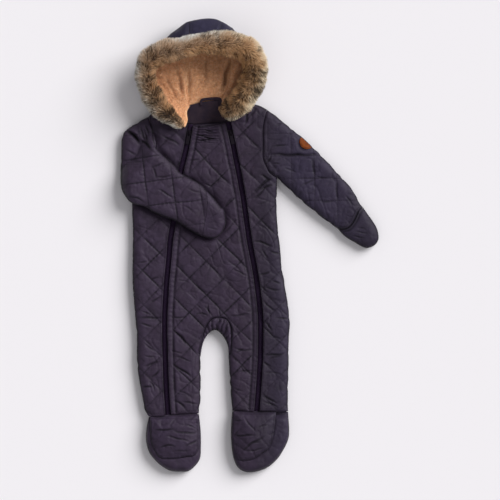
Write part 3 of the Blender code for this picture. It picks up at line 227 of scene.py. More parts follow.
NECK_BACK = [(-125, 221), (-112, 227), (-105, 240.5), (-88, 245.8), (-66, 249.6), (-50, 252),
             (-46, 240), (-38, 232), (-27, 229)]
HEM_R = [(-176, -300), (-156, -301), (-142, -298), (-113, -296), (-88, -295)]
HEM_L = [(-30, -290), (-8, -291), (13, -292), (68, -291)]
INSEAM_R = [(-84.5, -190), (-85, -236), (-85, -271), (-88, -295)]
INSEAM_L = [(-36.5, -190), (-36, -205), (-34, -245), (-30, -290)]
CROTCH = [(-84.5, -190), (-82, -176), (-77, -163), (-68, -152), (-59, -149), (-50, -155),
          (-42, -166), (-37.5, -178), (-36.5, -190)]
ARCH = [(-88, -190), (-83, -170), (-77, -146), (-66, -130), (-50, -127), (-38, -132),
        (-31.5, -148), (-32, -170), (-33.5, -190)]
SLEEVE_R_INNER = [(-163, 170), (-158, 164), (-146, 153), (-130, 138), (-120, 126), (-107, 119),
                  (-86, 107), (-75, 95)]
SLEEVE_R_OUTER = [(-176, 225), (-187.5, 219.8), (-198, 213), (-209, 206), (-217, 200), (-221, 194),
                  (-224, 180), (-225, 142), (-226, 114), (-225, 100), (-218, 86), (-207, 74),
                  (-183, 66), (-169, 58), (-148, 49), (-132, 43), (-114, 32), (-99, 23), (-83, 15)]
MITTEN_R = [(-75, 95), (-64, 84), (-51, 68), (-44, 61), (-41, 42), (-43, 31), (-50, 19),
            (-60, 12), (-73, 12), (-83, 15)]
CUFF_R = [(-75, 95), (-74, 68), (-78, 40), (-83, 15)]
SLEEVE_L_UPPER = [(31, 237), (38, 233), (54, 220), (71, 206), (97, 185), (127, 156), (153, 128),
                  (178, 100), (193, 75), (199.5, 65.5)]
SLEEVE_L_LOWER = [(49, 117), (66, 100), (97, 72), (132, 44), (155, 28)]
CUFF_L = [(155, 28), (164, 27.3), (173, 30), (179.5, 36.5), (185, 45.5), (189, 54.5),
          (193, 61.5), (199.5, 65.5)]
MITTEN_L = [(199.5, 65.5), (204.5, 58), (216, 42), (223, 30), (226, 19), (226, 9), (220, 0),
            (209, -5), (199, -4), (185, 4), (167, 15), (155, 28)]
FOOT_R = [(-176, -301), (-180, -320), (-181, -341), (-177, -359), (-170, -371), (-156, -385),
          (-139, -395), (-121, -397), (-107, -396), (-95, -387), (-86, -373), (-84.5, -350),
          (-85, -324), (-88, -296)]
UPPER_R = [(-174, -301), (-173, -341), (-167, -359), (-156, -373), (-137, -375), (-114, -372),
           (-97, -369), (-88, -358), (-86.5, -341), (-87, -324), (-89, -296)]
FOOT_L = [(68, -292), (70, -324), (68, -341), (59, -360), (48, -376), (31, -390), (15, -396),
          (1, -398), (-11, -396), (-22, -387), (-29, -368), (-32, -341), (-32, -315), (-30, -291)]
UPPER_L = [(47, -292), (45, -320), (41, -341), (34, -357), (22, -366), (14, -372), (1, -377),
           (-16, -378), (-25, -368), (-30, -341), (-30, -315), (-28.5, -291)]

# Hood: crown sections from the fur edge to the neck, and side sections as edge, bulge,
# foot and a place on the crown's seam.
CROWN_ROWS = [
    [(-104, 346, 54), (-105, 368, 51), (-105, 391.3, 34), (-106, 382, 10), (-106, 362, 0),
     (-107, 320, 0), (-111, 275, 0), (-108, 241.5, 0)],
    [(-78, 352, 56), (-78, 374, 53), (-79, 396, 35), (-79, 385, 10), (-79, 366, 0),
     (-79, 320, 0), (-82, 278, 0), (-88, 246.7, 0)],
    [(-51, 354, 57), (-54, 373, 54), (-57, 395, 36), (-55, 383, 10), (-53, 364, 0),
     (-53, 320, 0), (-58, 278, 0), (-66, 250.5, 0)],
    [(-27, 352, 56), (-33, 369, 53), (-39, 386, 36), (-36, 376, 10), (-30, 359, 0),
     (-31, 318, 0), (-37, 278, 0), (-47, 253.8, 0)],
]
HOOD_SIDE_R = [
    ((-113.5, 205, 23.5), (-108.5, 217, 21), (-109.5, 230, 17), 0.01),
    ((-129, 217, 25), (-125, 229, 20), (-118, 241, 9), 0.06),
    ((-145, 230, 27), (-147, 238, 20), (-135, 251, 4), 0.11),
    ((-156, 241, 29), (-162, 247, 18), (-147, 259, 0), 0.16),
    ((-166, 255, 31), (-175, 259, 18), (-159, 270, 0), 0.21),
    ((-178, 280, 35), (-190, 282, 20), (-173, 287, 0), 0.28),
    ((-181, 303, 40), (-192, 304, 22), (-175, 306, 0), 0.35),
    ((-173, 324, 45), (-184, 332, 25), (-167, 327, 0), 0.42),
    ((-149, 338, 50), (-158, 354, 30), (-147, 346, 2), 0.50),
    ((-128, 342, 53), (-132, 370, 42), (-127, 378, 18), 0.62),
    ((-114, 345, 54), (-115, 369, 51), (-113, 387, 39), 0.72),
]
HOOD_SIDE_L = [
    ((-42, 225, 23.5), (-44.5, 235, 19), (-46, 245, 12), 0.01),
    ((-36, 234, 25), (-34, 243, 20), (-38, 253, 6), 0.06),
    ((-20, 248, 28), (-17, 255, 18), (-30, 264, 2), 0.12),
    ((-4, 268, 32), (3, 269, 18), (-13, 277, 0), 0.19),
    ((9, 292, 37), (19, 292, 20), (2, 296, 0), 0.27),
    ((10, 317, 44), (20, 320, 24), (2, 322, 0), 0.36),
    ((-1, 341, 51), (8, 352, 32), (-6, 347, 3), 0.46),
    ((-13, 348, 54), (-14, 365, 38), (-19, 362, 8), 0.56),
    ((-23, 351, 55), (-27, 374, 47), (-31, 380, 28), 0.66),
]
HOOD_INSIDE = (-85, 300, 60)
HOOD_SHELL = (0.0, 2.2)  # the depths, in from the sections, of each layer's outer and inner face
HOOD_LINING = (3.0, 6.0)
HOOD_SEAM = 0.3
HOOD_PANELS = (  # the shell, its lining, and their points along and across
    ("hood_side_r", "lining_r", 75, 50),
    ("hood_crown", "lining_center", 40, 90),
    ("hood_side_l", "lining_l", 75, 50),
)
SEAM_PLACES = (0.01, 0.06, 0.12, 0.18, 0.25, 0.32, 0.39, 0.46, 0.53, 0.6, 0.67, 0.74)
SEAM_END = np.linspace(0.78, 1.0, 8)
FUR_ROWS = [  # middle x, y, lowest z, half width
    (-117, 206, 29.6, 9), (-129, 217, 30.0, 12), (-145, 230, 30.2, 16), (-156, 241, 30.6, 18),
    (-166, 255, 32.2, 18), (-178, 280, 36.2, 17), (-181, 303, 40.4, 17), (-173, 324, 45.5, 19),
    (-149, 338, 50.8, 19), (-121, 344, 53.9, 17), (-90, 351, 55.9, 17), (-60, 354, 57.2, 19),
    (-30, 353, 56.8, 19), (-2, 341, 52.3, 20), (10, 317, 44.9, 19), (9, 292, 38.0, 19),
    (-4, 268, 33.5, 20), (-20, 248, 30.4, 20), (-36, 234, 29.4, 17), (-45, 226, 28.5, 10),
]
FUR_FLATTEN = 0.72

FACING = [(-103, 243.8), (-88, 248.8), (-66, 252.8), (-50, 254.5), (-45.8, 240.5), (-38.5, 231.2),
          (-30.5, 228.6), (-33.8, 219.5), (-40.5, 216), (-75, 213.6), (-98, 212.2), (-107, 213.3),
          (-111, 213.6), (-121, 220.8), (-112, 225.5), (-108.5, 231)]
LOOP_ROUTE = [(-84.5, 244), (-84, 252), (-79, 254.8), (-65, 256), (-54, 256.2), (-50.5, 253),
              (-52, 245)]
LOOP_Z = 13.2
PATCH_CENTRE = np.array([100.8, 180.9])
PATCH_RADIUS = 13.0
PATCH_EDGE = 1.1  # how far inside the sleeve's edge the patch is trimmed

# Stitches, the zips' links and the pile: millimetres, and hairs to the square metre.
STITCH = dict(pitch=3.2, length=2.3, thickness=0.55)
STITCH_STEP = 2.0  # between the points that a sewn line is drawn through
COIL = dict(pitch=1.5, length=2.6, thickness=0.95, across=True)
LINING_PILE = dict(density=5.4e5, length=4.0, thickness=0.5, curl=0.9, uneven=0.8)
FUR_PILES = {
    "fine": dict(density=8.5e5, length=12.0, thickness=0.5, curl=0.35, uneven=0.25, seed=11),
    "lock": dict(density=3.4e5, length=11.0, thickness=1.5, curl=0.35, uneven=0.25, seed=12),
}
# Painted shade on the fleece and its pile: how much they are darkened, from the open to the bottom
# of a fold and towards the hood's upper right.
PAINTED_FLEECE_SHADE = ((0.1, "ffffff"), (0.8, "b8a89c"))
# Each cloth's name, its colour where shade is painted (in its hollows, creases, folds and quilted
# lines), its two colours elsewhere, and its roughness.
CLOTHS = {
    "quilted": ("Quilted polyester taffeta, navy", "0d0911", "35293b", "3d3145", 0.6),
    "plain": ("Polyester taffeta, navy", "0d0911", "35293c", "3d3146", 0.58),
    "shell": ("Polyester taffeta, hood shell", "100d18", "2c2940", "343049", 0.6),
}
# The studio: its even light, and each lamp's direction, softness in degrees and power.
SKY_COLOUR = (0.97, 0.97, 1.0, 1)
SKY_STRENGTH = 0.285
LIGHTS = (("window", (1.0, 0.75, 0.92), 42, 3.36), ("fill", (-0.2, -0.9, 1.6), 60, 0.28))
LEAST_FILL = 0.301  # the least share of its flat rectangle that a cut piece's area is raised to


# ---------------------------------------------------------------- lines and outlines


def clipped(t):
    """Held between 0 and 1."""
    return np.clip(t, 0, 1)


def ease(t):
    """From 0 to 1, slower as it nears 1."""
    return np.sin(clipped(t) * math.pi / 2)


def rounded(t):
    """From 0 to 1 as a quarter circle rises."""
    return np.sqrt(1 - (1 - clipped(t)) ** 2)


def bell(t):
    """1 at 0, falling to almost nothing by 2 on either side."""
    return np.exp(-(t**2))


def units(vectors):
    """The vectors, each 1 long."""
    return vectors / np.linalg.norm(vectors, axis=-1, keepdims=True)


def axes_at(angle):
    """Two axes in plan, turned by an angle in radians."""
    return np.array([[math.cos(angle), math.sin(angle)], [-math.sin(angle), math.cos(angle)]])


def level(height):
    """A flat face, as a height over any points."""
    return lambda points: np.full(len(points), height)


def read_off(at, run, table):
    """A table's rows at places along its run."""
    return np.stack([np.interp(at, run, column) for column in table.T], 1)


def smooth(a, b, c, d, t):
    """A place on the smooth curve from b to c, with a before them and d after."""
    return 0.5 * (2 * b + (c - a) * t + (2 * a - 5 * b + 4 * c - d) * t**2
                  + (3 * b - a - 3 * c + d) * t**3)


def curve(points, step, closed=False):
    """Evenly spaced points on a smooth curve through the given ones."""
    points = np.array(points, float)
    if closed:
        ends = np.vstack([points[-1], points, points[0], points[1]])
    else:
        ends = np.vstack([2 * points[0] - points[1], points, 2 * points[-1] - points[-2]])
    t = np.linspace(0, 1, 12, endpoint=False)[:, None]
    fine = [smooth(*four, t) for four in zip(ends, ends[1:], ends[2:], ends[3:])]
    fine = np.vstack(fine + [points[:1] if closed else points[-1:]])
    run = np.concatenate([[0], np.cumsum(np.linalg.norm(np.diff(fine, axis=0), axis=1))])
    at = np.linspace(0, run[-1], max(2, round(run[-1] / step) + 1))
    even = read_off(at, run, fine)
    return even[:-1] if closed else even


def normals_of(path):
    """Unit vectors to the left of an open path, at its points."""
    along = units(np.gradient(path[:, :2], axis=0))
    return np.stack([-along[:, 1], along[:, 0]], 1)


def beside(path, distance):
    """The path moved to its left."""
    return path + normals_of(path) * distance


def twice_area(loop):
    """Twice an outline's area, below zero where it runs clockwise."""
    x, y = loop.T
    return (x * np.roll(y, -1) - y * np.roll(x, -1)).sum()


def loop_of(*paths):
    """One outline, anticlockwise, from paths that run end to end."""
    points = np.vstack(paths)
    points = points[np.linalg.norm(points - np.roll(points, 1, axis=0), axis=1) > APART]
    return points if twice_area(points) > 0 else points[::-1]


def inset(loop, distance):
    """An anticlockwise outline moved inwards by the distance."""
    back, on = units(loop - np.roll(loop, 1, axis=0)), units(np.roll(loop, -1, axis=0) - loop)
    middle = units(back + on)
    left = np.stack([-middle[:, 1], middle[:, 0]], 1)
    opening = np.clip((left * np.stack([-on[:, 1], on[:, 0]], 1)).sum(1), 0.4, 1)
    return loop + left * (distance / opening)[:, None]


def distance_to(points, *paths):
    """Least distance from each point to the paths."""
    least = np.full(len(points), 1e12)
    for path in paths:
        for a, s in zip(path[:-1], np.diff(path, axis=0)):
            away = points - a
            t = np.clip((away @ s) / max(s @ s, 1e-9), 0, 1)
            away = away - t[:, None] * s
            least = np.minimum(least, (away * away).sum(1))
    return np.sqrt(least)


def ring(loop):
    """An outline that ends where it starts."""
    return np.vstack([loop, loop[:1]])


def inside(points, loop):
    """Which points lie inside an outline."""
    a, b = loop, np.roll(loop, -1, axis=0)
    x, y = points[:, :1], points[:, 1:]
    spans = (a[:, 1] > y) != (b[:, 1] > y)
    crossing = a[:, 0] + (y - a[:, 1]) * (b[:, 0] - a[:, 0]) / (b[:, 1] - a[:, 1] + 1e-12)
    return (spans & (x < crossing)).sum(1) % 2 == 1


def between(path, low, high):
    """The points of a path whose x lies between two values."""
    return path[(path[:, 0] > low) & (path[:, 0] < high)]


# ---------------------------------------------------------------- unevenness of worn cloth

CELLS = 64
CHANCE = np.random.default_rng(7).random((CELLS, CELLS))


def rumple(points, size, seed=0):
    """Soft unevenness from -1 to 1, in lumps of this size."""
    turn, aside, far = 1.3, 7.31, 900  # these keep the seeds apart, and the places above zero
    place = points @ axes_at(seed * turn) / size + seed * aside + far
    whole = np.floor(place).astype(int)
    u, v = ((place - whole) ** 2 * (3 - 2 * (place - whole))).T
    x, y = whole.T % CELLS
    right, up = (x + 1) % CELLS, (y + 1) % CELLS
    low = CHANCE[x, y] * (1 - u) + CHANCE[right, y] * u
    high = CHANCE[x, up] * (1 - u) + CHANCE[right, up] * u
    return 2 * (low * (1 - v) + high * v) - 1


def rumples(points, size, *seeds):
    """The same in two or three directions at once, from a seed for each."""
    return np.stack([rumple(points, size, seed) for seed in seeds], 1)


def crinkled(points, size, seed):
    """Thin wandering creases: 1 on them and 0 between."""
    aside = rumples(points, size * 1.7, seed + 1, seed + 2)
    return clipped(1 - np.abs(rumple(points + aside * size * 0.6, size, seed)) * 4) ** 1.5


def handled(points, seed):
    """How thin padded cloth lies after wear: soft lumps, and fine creases pressed in."""
    soft = 0.7 * rumple(points, 31, seed) + 0.4 * rumple(points, 14, seed + 3)
    return soft - 0.9 * crinkled(points, 24, seed + 5) - 0.5 * crinkled(points, 12, seed + 9)


def creased(points, rows):
    """Depth of the listed creases: a trough with a low lip on one side."""
    depth = np.zeros(len(points))
    for x0, y0, x1, y1, bend, deep, half in rows:
        run = np.array([x1 - x0, y1 - y0], float)
        length = np.linalg.norm(run)
        along = (points - (x0, y0)) @ run / length
        t = along / length
        aside = (points - (x0, y0)) @ np.array([-run[1], run[0]]) / length
        aside -= bend * 4 * t * (1 - t) + 0.8 * np.sin(along / 5 + x0)
        reach = np.sin(clipped(t) * math.pi)
        half = 0.6 * half
        trough = bell(aside / half)
        lip = bell((aside * (-1) ** int(x0) - 2.2 * half) / (1.3 * half))
        depth += reach * deep * (0.85 * trough - 0.2 * lip)
    return depth


def folded(points, folds):
    """Depth of the folds pressed into the padding."""
    depth = np.zeros(len(points))
    for start, end, deep, half in folds:
        away = distance_to(points, np.array([start, end], float))
        depth = np.maximum(depth, 0.5 * deep * (1 - ease(away / half / 1.6)))
    return depth


def worn(points, name):
    """Depth of a piece's folds and creases together."""
    return folded(points, FOLDS.get(name, [])) + creased(points, CREASES.get(name, []))


# ---------------------------------------------------------------- heights


def quilt_axes(turn):
    """The two directions across the quilting's lines, turned in degrees."""
    return axes_at(math.radians(turn))


def quilt_place(points, quilt):
    """Points in the quilting's own axes, in line spacings, with the slight wander of its lines."""
    place = (points - np.array(quilt["cross"])) @ quilt_axes(quilt["turn"]).T / quilt["pitch"]
    return place + 0.032 * rumples(points, 55, 81, 82) + 0.009 * rumples(points, 13, 83, 84)


def pull(points, quilt):
    """How hard the sewing pulls each place in, from faint to 1.1."""
    faint = 0.36 + 0.3 * rumple(points, 33, 70)
    if not quilt["pulled"]:
        return faint + 0.3
    near = distance_to(points, *[np.array(row, float).reshape(2, 2) for row in quilt["pulled"]])
    return np.clip(faint + 0.7 * bell(near / 7), 0.08, 1.1) * quilt.get("strength", 1.0)


def quilted(points, quilt):
    """Rise of the quilting: low diamonds, thin sewn lines that pull in unevenly, and puckers."""
    place, held = quilt_place(points, quilt), pull(points, quilt)
    wave, full = np.abs(np.sin(place * math.pi)) ** 0.6, clipped(held)
    rise = PUFF * (wave[:, 0] * wave[:, 1] * (0.5 + 0.5 * full) + 0.3 * (1 - full))
    for k in (0, 1):
        line = np.round(place[:, k])
        near = (place[:, k] - line) * quilt["pitch"][k]
        along = place[:, 1 - k] * quilt["pitch"][1 - k]
        rise -= 0.7 * held * bell(near / 1.5)
        pucker = np.sin(along * 0.8 + 2.4 * np.sin(along / 17 + line * 2.1)) * bell(near / 6)
        rise += 0.26 * held * pucker
    return rise


def snapped(points, quilt):
    """The points nearest a sewn line moved onto it, so that the line is crisp."""
    axes, pitch = quilt_axes(quilt["turn"]), np.array(quilt["pitch"])
    place = quilt_place(points, quilt)
    near = (place - np.round(place)) * pitch
    first = np.abs(near[:, 0]) < np.abs(near[:, 1])
    for k, chosen in ((0, first), (1, ~first)):
        moved = chosen & (np.abs(near[:, k]) < 0.45 * FINE)
        points = points - np.where(moved, near[:, k], 0)[:, None] * axes[k]
    return points


def scalloped(loop, edges, quilt):
    """Draws a free edge in a little where a sewn line runs off it, and leaves it uneven."""
    place = quilt_place(loop, quilt)
    near = np.abs(place - np.round(place)).min(1) * quilt["pitch"][0]
    drawn = 1.1 * bell(near / 3.5) + 0.15 + 0.45 * rumple(loop, 9, 9)
    ends = [edge[[k, k]] for edge in edges for k in (0, -1)]
    drawn *= (distance_to(loop, *edges) < 1.2) * ease(distance_to(loop, *ends) / 9)
    return loop + (inset(loop, 1.0) - loop) * drawn[:, None]


def marks(points, name, seams):
    """How dark each point is painted, from 0 to 1: painted shade in creases, folds, fine crinkles
    and gathers and along the folded sleeve's edge, and the dark lines of sewn seams.
    """
    dark = 0.82 * clipped(creased(points, CREASES.get(name, [])) / 1.6)
    fold = 0.7 * clipped(folded(points, FOLDS.get(name, [])) / 2.2) ** 3
    strong = 0.85 if name.startswith("front") or name == "mitten_l" else 0.5
    seam = strong * bell(distance_to(points, *seams) / 1.2)
    seam *= np.clip(0.8 + 0.7 * rumple(points, 24, 16), 0.35, 1)
    seam = np.where(distance_to(points, hem_r, hem_l, armhole_l) < 4, 0.4 * seam, seam)
    if name in ("sleeve_l", "mitten_l"):
        seam = np.maximum(seam, 0.98 * bell(distance_to(points, cuff_l[1:-4]) / 2.2))
    fine = 0.32 * crinkled(points, 21, 77 + len(name)) * clipped(0.5 + rumple(points, 38, 78))
    found = [dark, fold, seam, fine]
    if name.startswith("front"):
        # Painted shade along the folded sleeve's edge, where it lies on the chest.
        pressed = 0.8 * bell(distance_to(points, ring(folded_over)[::2]) / 2.6)
        found.append(pressed * np.clip(0.75 + 0.6 * rumple(points, 20, 17), 0.2, 1))
    if name == "front_center":
        # Painted shade in the troughs of the neck's gathers.
        share, wave = gathered(points)
        uneven = clipped(0.6 + 0.9 * rumple(points, 19, 13))
        found.append(0.35 * share * uneven * clipped(-wave / GATHERS["depth"]) ** 3)
    if name == "crotch_gusset":
        # Painted shade in the troughs of the gusset's gathers.
        uneven = clipped(0.7 + 0.8 * rumple(points, 14, 15))
        found.append(0.5 * clipped(gusset_wave(points)) ** 2 * uneven)
    return np.maximum.reduce(found)


def padded_wall(points, free, seams, rise):
    """The front's thickness, rounded off at free edges and drawn in at seams."""
    inward = ease(distance_to(points, *seams) / SEAM_ROUND)
    full = SEAM_WALL + (STITCH_WALL - SEAM_WALL + rise) * inward
    return EDGE_WALL + (full - EDGE_WALL) * rounded(distance_to(points, *free) / EDGE_ROUND)


def under_side(points, loop, wall=BACK_WALL):
    """The under side's height: 0, and rounded up to the wall's edge."""
    return (wall - EDGE_WALL) * (1 - rounded(distance_to(points, ring(loop)) / UNDER_ROUND))


zip_r, zip_l = curve(ZIP_R, STEP), curve(ZIP_L, STEP)
side_r, side_l = curve(SIDE_R, STEP), curve(SIDE_L, STEP)
armhole_r, armhole_l = curve(ARMHOLE_R, STEP), curve(ARMHOLE_L, STEP)
armhole_top = armhole_r[armhole_r[:, 1] > 172]
shoulder_r, shoulder_l = curve(SHOULDER_R, STEP), curve(SHOULDER_L, STEP)
neck_r, neck_l = curve(NECK_R, STEP), curve(NECK_L, STEP)
hem_r, hem_l = curve(HEM_R, STEP), curve(HEM_L, STEP)
inseam_r, inseam_l = curve(INSEAM_R, STEP), curve(INSEAM_L, STEP)
crotch, arch = curve(CROTCH, STEP), curve(ARCH, STEP)
cuff_r, cuff_l = curve(CUFF_R, STEP), curve(CUFF_L, STEP)
top_edge = np.array([beside(zip_r, ZIP_HALF)[0], beside(zip_l, -ZIP_HALF)[0]])
topstitch = [beside(zip_r, ZIP_HALF + PLACKET), beside(zip_l, -ZIP_HALF - PLACKET)]
folded_over = loop_of(curve(SLEEVE_R_OUTER, STEP), curve(MITTEN_R, STEP)[::-1],
                      curve(SLEEVE_R_INNER, STEP)[::-1])
between_zips = loop_of(zip_r, zip_l[::-1])
free_edges = [side_r, side_l, inseam_r, inseam_l]
body_free = [path[::3] for path in (*free_edges, crotch, shoulder_r, shoulder_l)]
body_seams = [path[::2] for path in (zip_r, zip_l, armhole_r, armhole_l, hem_r, hem_l, arch,
                                     neck_r, neck_l, *topstitch)] + [top_edge]


def in_placket(points, past):
    """Which points lie in the plain strips inside the zips, or just past them."""
    near = distance_to(points, zip_r, zip_l) < ZIP_HALF + PLACKET + past
    return near & inside(points, between_zips)


def uncovered(points):
    """0 under the folded sleeve, which presses the quilting flat, and 1 clear of it."""
    away = np.where(inside(points, folded_over), 0, distance_to(points, ring(folded_over)[::3]))
    return ease(away / 12)


def gathered(points):
    """How much each point belongs to the gathers at the neck, and their wave there."""
    low, high = np.array(GATHERS["low"]), np.array(GATHERS["high"])
    share = ease(np.minimum(points - low, high - points).min(1) / 8)
    wander = 3.4 * rumple(points, 24, 4) + 1.2 * rumple(points, 11, 9) + 0.04 * (points[:, 0] + 75)
    wave = np.cos((points[:, 1] + wander - low[1]) / GATHERS["pitch"] * 2 * math.pi)
    return share, GATHERS["depth"] * (1 - 2 * np.abs(wave)) * 0.9


def gusset_wave(points):
    """The elastic gathers that run across the gusset's band, 1 in their troughs."""
    away = points - np.array(GUSSET_MIDDLE)
    angle = np.arctan2(away[:, 1], away[:, 0] / 0.62)
    wander = 0.22 * rumple(points, 12, 2)
    return 1 - 2 * np.abs(np.cos((angle / math.pi + wander / 6) * GUSSET_GATHERS * math.pi)) ** 0.7


def front_top(name, loop, seed):
    """Height of a front panel: quilted, but plain in the plackets and gathered at the neck."""
    quilt = QUILTS.get(name, QUILTS["front_center"])

    def top(points):
        plain = in_placket(points, 0.1)
        clear = uncovered(points)
        pulled = np.sin(points[:, 1] * 0.75 + 3 * rumple(points, 24, 5))
        pulled = pulled * (0.5 + 0.7 * rumple(points, 30, 6))
        rise = np.where(plain, 0.5 + 0.45 * pulled, quilted(points, quilt))
        rise = rise * clear - PRESSED * (1 - clear)
        share, wave = gathered(points)
        rise = rise * (1 - share) + share * (GATHERS["rise"] + wave)
        height = FRONT_Z + padded_wall(points, body_free, body_seams, rise)
        edge = ease(distance_to(points, ring(loop)[::2]) / 7)
        quiet = clear * edge * np.where(plain, 0.35, 1) * (1 - 0.6 * share)
        height += handled(points, seed) * quiet
        return height - worn(points, name) * edge * clear
    return top


# ---------------------------------------------------------------- meshes


def piece(name, points, faces, material, attributes=None):
    """A named object from points in millimetres, at the origin."""
    mesh = bpy.data.meshes.new(name)
    faces = [tuple(map(int, f)) for f in faces]
    mesh.from_pydata((np.asarray(points) * MM).tolist(), [], faces)
    mesh.update()
    mesh.materials.append(material)
    mesh.polygons.foreach_set("use_smooth", [True] * len(faces))
    for key, values in (attributes or {}).items():
        kind = "FLOAT" if np.ndim(values) == 1 else "FLOAT_VECTOR"
        layer = mesh.attributes.new(key, kind, "POINT")
        values = np.ravel(values).astype(np.float32)
        layer.data.foreach_set("value" if kind == "FLOAT" else "vector", values)
    made = bpy.data.objects.new(name, mesh)
    scene.collection.objects.link(made)
    return made


def lattice(loop, step, from_edge):
    """Points in even triangles over an outline, clear of its edge."""
    low, high = loop.min(0), loop.max(0)
    rows = np.arange(low[1], high[1], step * ROW_SHARE)
    x, y = np.meshgrid(np.arange(low[0], high[0], step), rows)
    x = x + (np.arange(len(rows)) % 2)[:, None] * step / 2
    points = np.stack([x.ravel(), y.ravel()], 1)
    points = points[inside(points, loop)]
    return points[distance_to(points, ring(loop)) > from_edge]


def triangles(loop, within):
    """Triangles over an outline and the points in it, as rows of the two together."""
    flat = [Vector(p) for p in np.vstack([loop, within])]
    found = delaunay_2d_cdt(flat, [], [list(range(len(loop)))], 1, 1e-5)
    assert len(found[0]) == len(flat), "two points of an outline fall together"
    return [list(face) for face in found[2]]


def hollow_in(loop, room):
    """Points and faces of a thin slot inside a tube laid flat."""
    half, step, from_edge = 0.25, 9.0, 4.0
    outline = inset(loop[::4], TUBE_SEAM)
    clear = distance_to(outline, ring(loop)) > TUBE_SEAM - 0.6
    outline = outline[inside(outline, loop) & clear]
    within = lattice(outline, step, from_edge)
    flat, faces = np.vstack([outline, within]), triangles(outline, within)
    points = np.vstack([np.column_stack([flat, room(flat) + side]) for side in (half, -half)])
    down = len(flat)
    edges = {(f[k], f[(k + 1) % 3]) for f in faces for k in range(3)}
    walls = [(a, b, down + b, down + a) for a, b in edges if (b, a) not in edges]
    return points, [f[::-1] for f in faces] + [[down + k for k in f] for f in faces] + walls


def wall(name, loop, top, bottom, material, over=FINE, under=4.5, room=None, quilt=None,
         seams=()):
    """A closed wall over an outline, from its two faces' heights and their points' spacings.
    room leaves its inside hollow, as in a tube laid flat. A row of points close inside the
    edge keeps the edge's rounding even."""
    border_in, upper_in, snapped_in = 0.7, 1.5, 1.0
    border = inset(loop, border_in)
    border = border[inside(border, loop) & (distance_to(border, ring(loop)) > border_in - 0.1)]
    upper = lattice(loop, over, upper_in)
    if quilt is not None:
        upper = snapped(upper, quilt)
        upper = upper[distance_to(upper, ring(loop)) > snapped_in]
    over_points = np.vstack([loop, border, upper])
    under_points = np.vstack([loop, border, lattice(loop, under, under * 0.6)])
    points = np.vstack([np.column_stack([over_points, top(over_points)]),
                        np.column_stack([under_points, bottom(under_points)])])
    first, count = len(over_points), len(loop)
    faces = triangles(loop, over_points[count:])
    faces += [[first + k for k in reversed(f)] for f in triangles(loop, under_points[count:])]
    faces += [(first + k, first + (k + 1) % count, (k + 1) % count, k) for k in range(count)]
    if room is not None:
        slot, slot_faces = hollow_in(loop, room)
        faces += [[len(points) + k for k in f] for f in slot_faces]
        points = np.vstack([points, slot])
    # Painted shade, stored on the top: darker where it lies in a hollow, less so near the hems and
    # the left armhole, and the dark lines that marks gives.
    painted_shade, line = np.zeros((2, len(points)))
    painted_shade[:first] = hollows(over_points, points[:first, 2])
    painted_shade[:first] *= 1 - 0.7 * bell(distance_to(over_points, hem_r, hem_l, armhole_l) / 4)
    line[:first] = marks(over_points, name.replace("_cloth", ""), seams)
    sewing = np.full((len(points), 3), 0.5) * [1, 1, 0]
    if quilt is not None:
        sewing = np.column_stack([quilt_place(points[:, :2], quilt), pull(points[:, :2], quilt)])
    if name.startswith("front_"):
        free = (1 - gathered(over_points)[0]) * ~in_placket(over_points, -0.5)
        sewing[:first, 2] *= uncovered(over_points) * free
    return piece(name, points, faces, material, {"painted_shade": painted_shade, "line": line, "sewing": sewing})


def hollows(points, heights):
    """How far each point lies in a trough: its depth under the mean of its neighbourhood."""
    cell = 4.0
    low = points.min(0) - 2 * cell
    size = np.ceil((points.max(0) + 2 * cell - low) / cell).astype(int) + 1
    total, number = np.zeros(size), np.zeros(size)
    at = np.round((points - low) / cell).astype(int)
    np.add.at(total, tuple(at.T), heights)
    np.add.at(number, tuple(at.T), 1)
    wide, many = np.zeros(size), np.zeros(size)
    for i in (-1, 0, 1):
        for j in (-1, 0, 1):
            wide += np.roll(total, (i, j), (0, 1))
            many += np.roll(number, (i, j), (0, 1))
    return np.clip((wide / np.maximum(many, 1))[tuple(at.T)] - heights, -2, 3)


def grid_faces(shape):
    """A grid's four-sided faces and its border, as places in its flattened points."""
    index = np.arange(shape[0] * shape[1]).reshape(shape[:2])
    corners = (index[:-1, :-1], index[:-1, 1:], index[1:, 1:], index[1:, :-1])
    faces = np.stack([k.ravel() for k in corners], 1)
    return faces, np.concatenate([index[0], index[1:, -1], index[-1, -2::-1], index[-2:0:-1, 0]])


def face_normals(flat, faces):
    """Normals of faces at their first corners, as long as twice each triangle's area."""
    return np.cross(flat[faces[:, 1]] - flat[faces[:, 0]], flat[faces[:, 2]] - flat[faces[:, 0]])


def grid_normals(grid, towards):
    """The sum of the faces' normals at each grid point, on the side of the given point."""
    flat = grid.reshape(-1, 3)
    quads, _ = grid_faces(grid.shape)
    faces = np.vstack([quads[:, [0, 1, 2]], quads[:, [0, 2, 3]]])
    flats = face_normals(flat, faces)
    if (flats * (np.array(towards) - flat[faces[:, 0]])).sum() < 0:
        flats = -flats
    normals = np.zeros_like(flat)
    for corner in faces.T:
        np.add.at(normals, corner, flats)
    return normals.reshape(grid.shape)


def finer(grid, rows, columns):
    """The same surface through a closer grid of points, on smooth curves."""
    for axis, count in ((0, rows), (1, columns)):
        grid = np.moveaxis(grid, axis, 0)
        at = np.linspace(0, len(grid) - 1, count)
        k = np.clip(at.astype(int), 0, len(grid) - 2)
        t = (at - k)[:, None, None]
        ends = np.concatenate([2 * grid[:1] - grid[1:2], grid, 2 * grid[-1:] - grid[-2:-1]])
        grid = smooth(ends[k], ends[k + 1], ends[k + 2], ends[k + 3], t)
        grid = np.moveaxis(grid, 0, axis)
    return grid


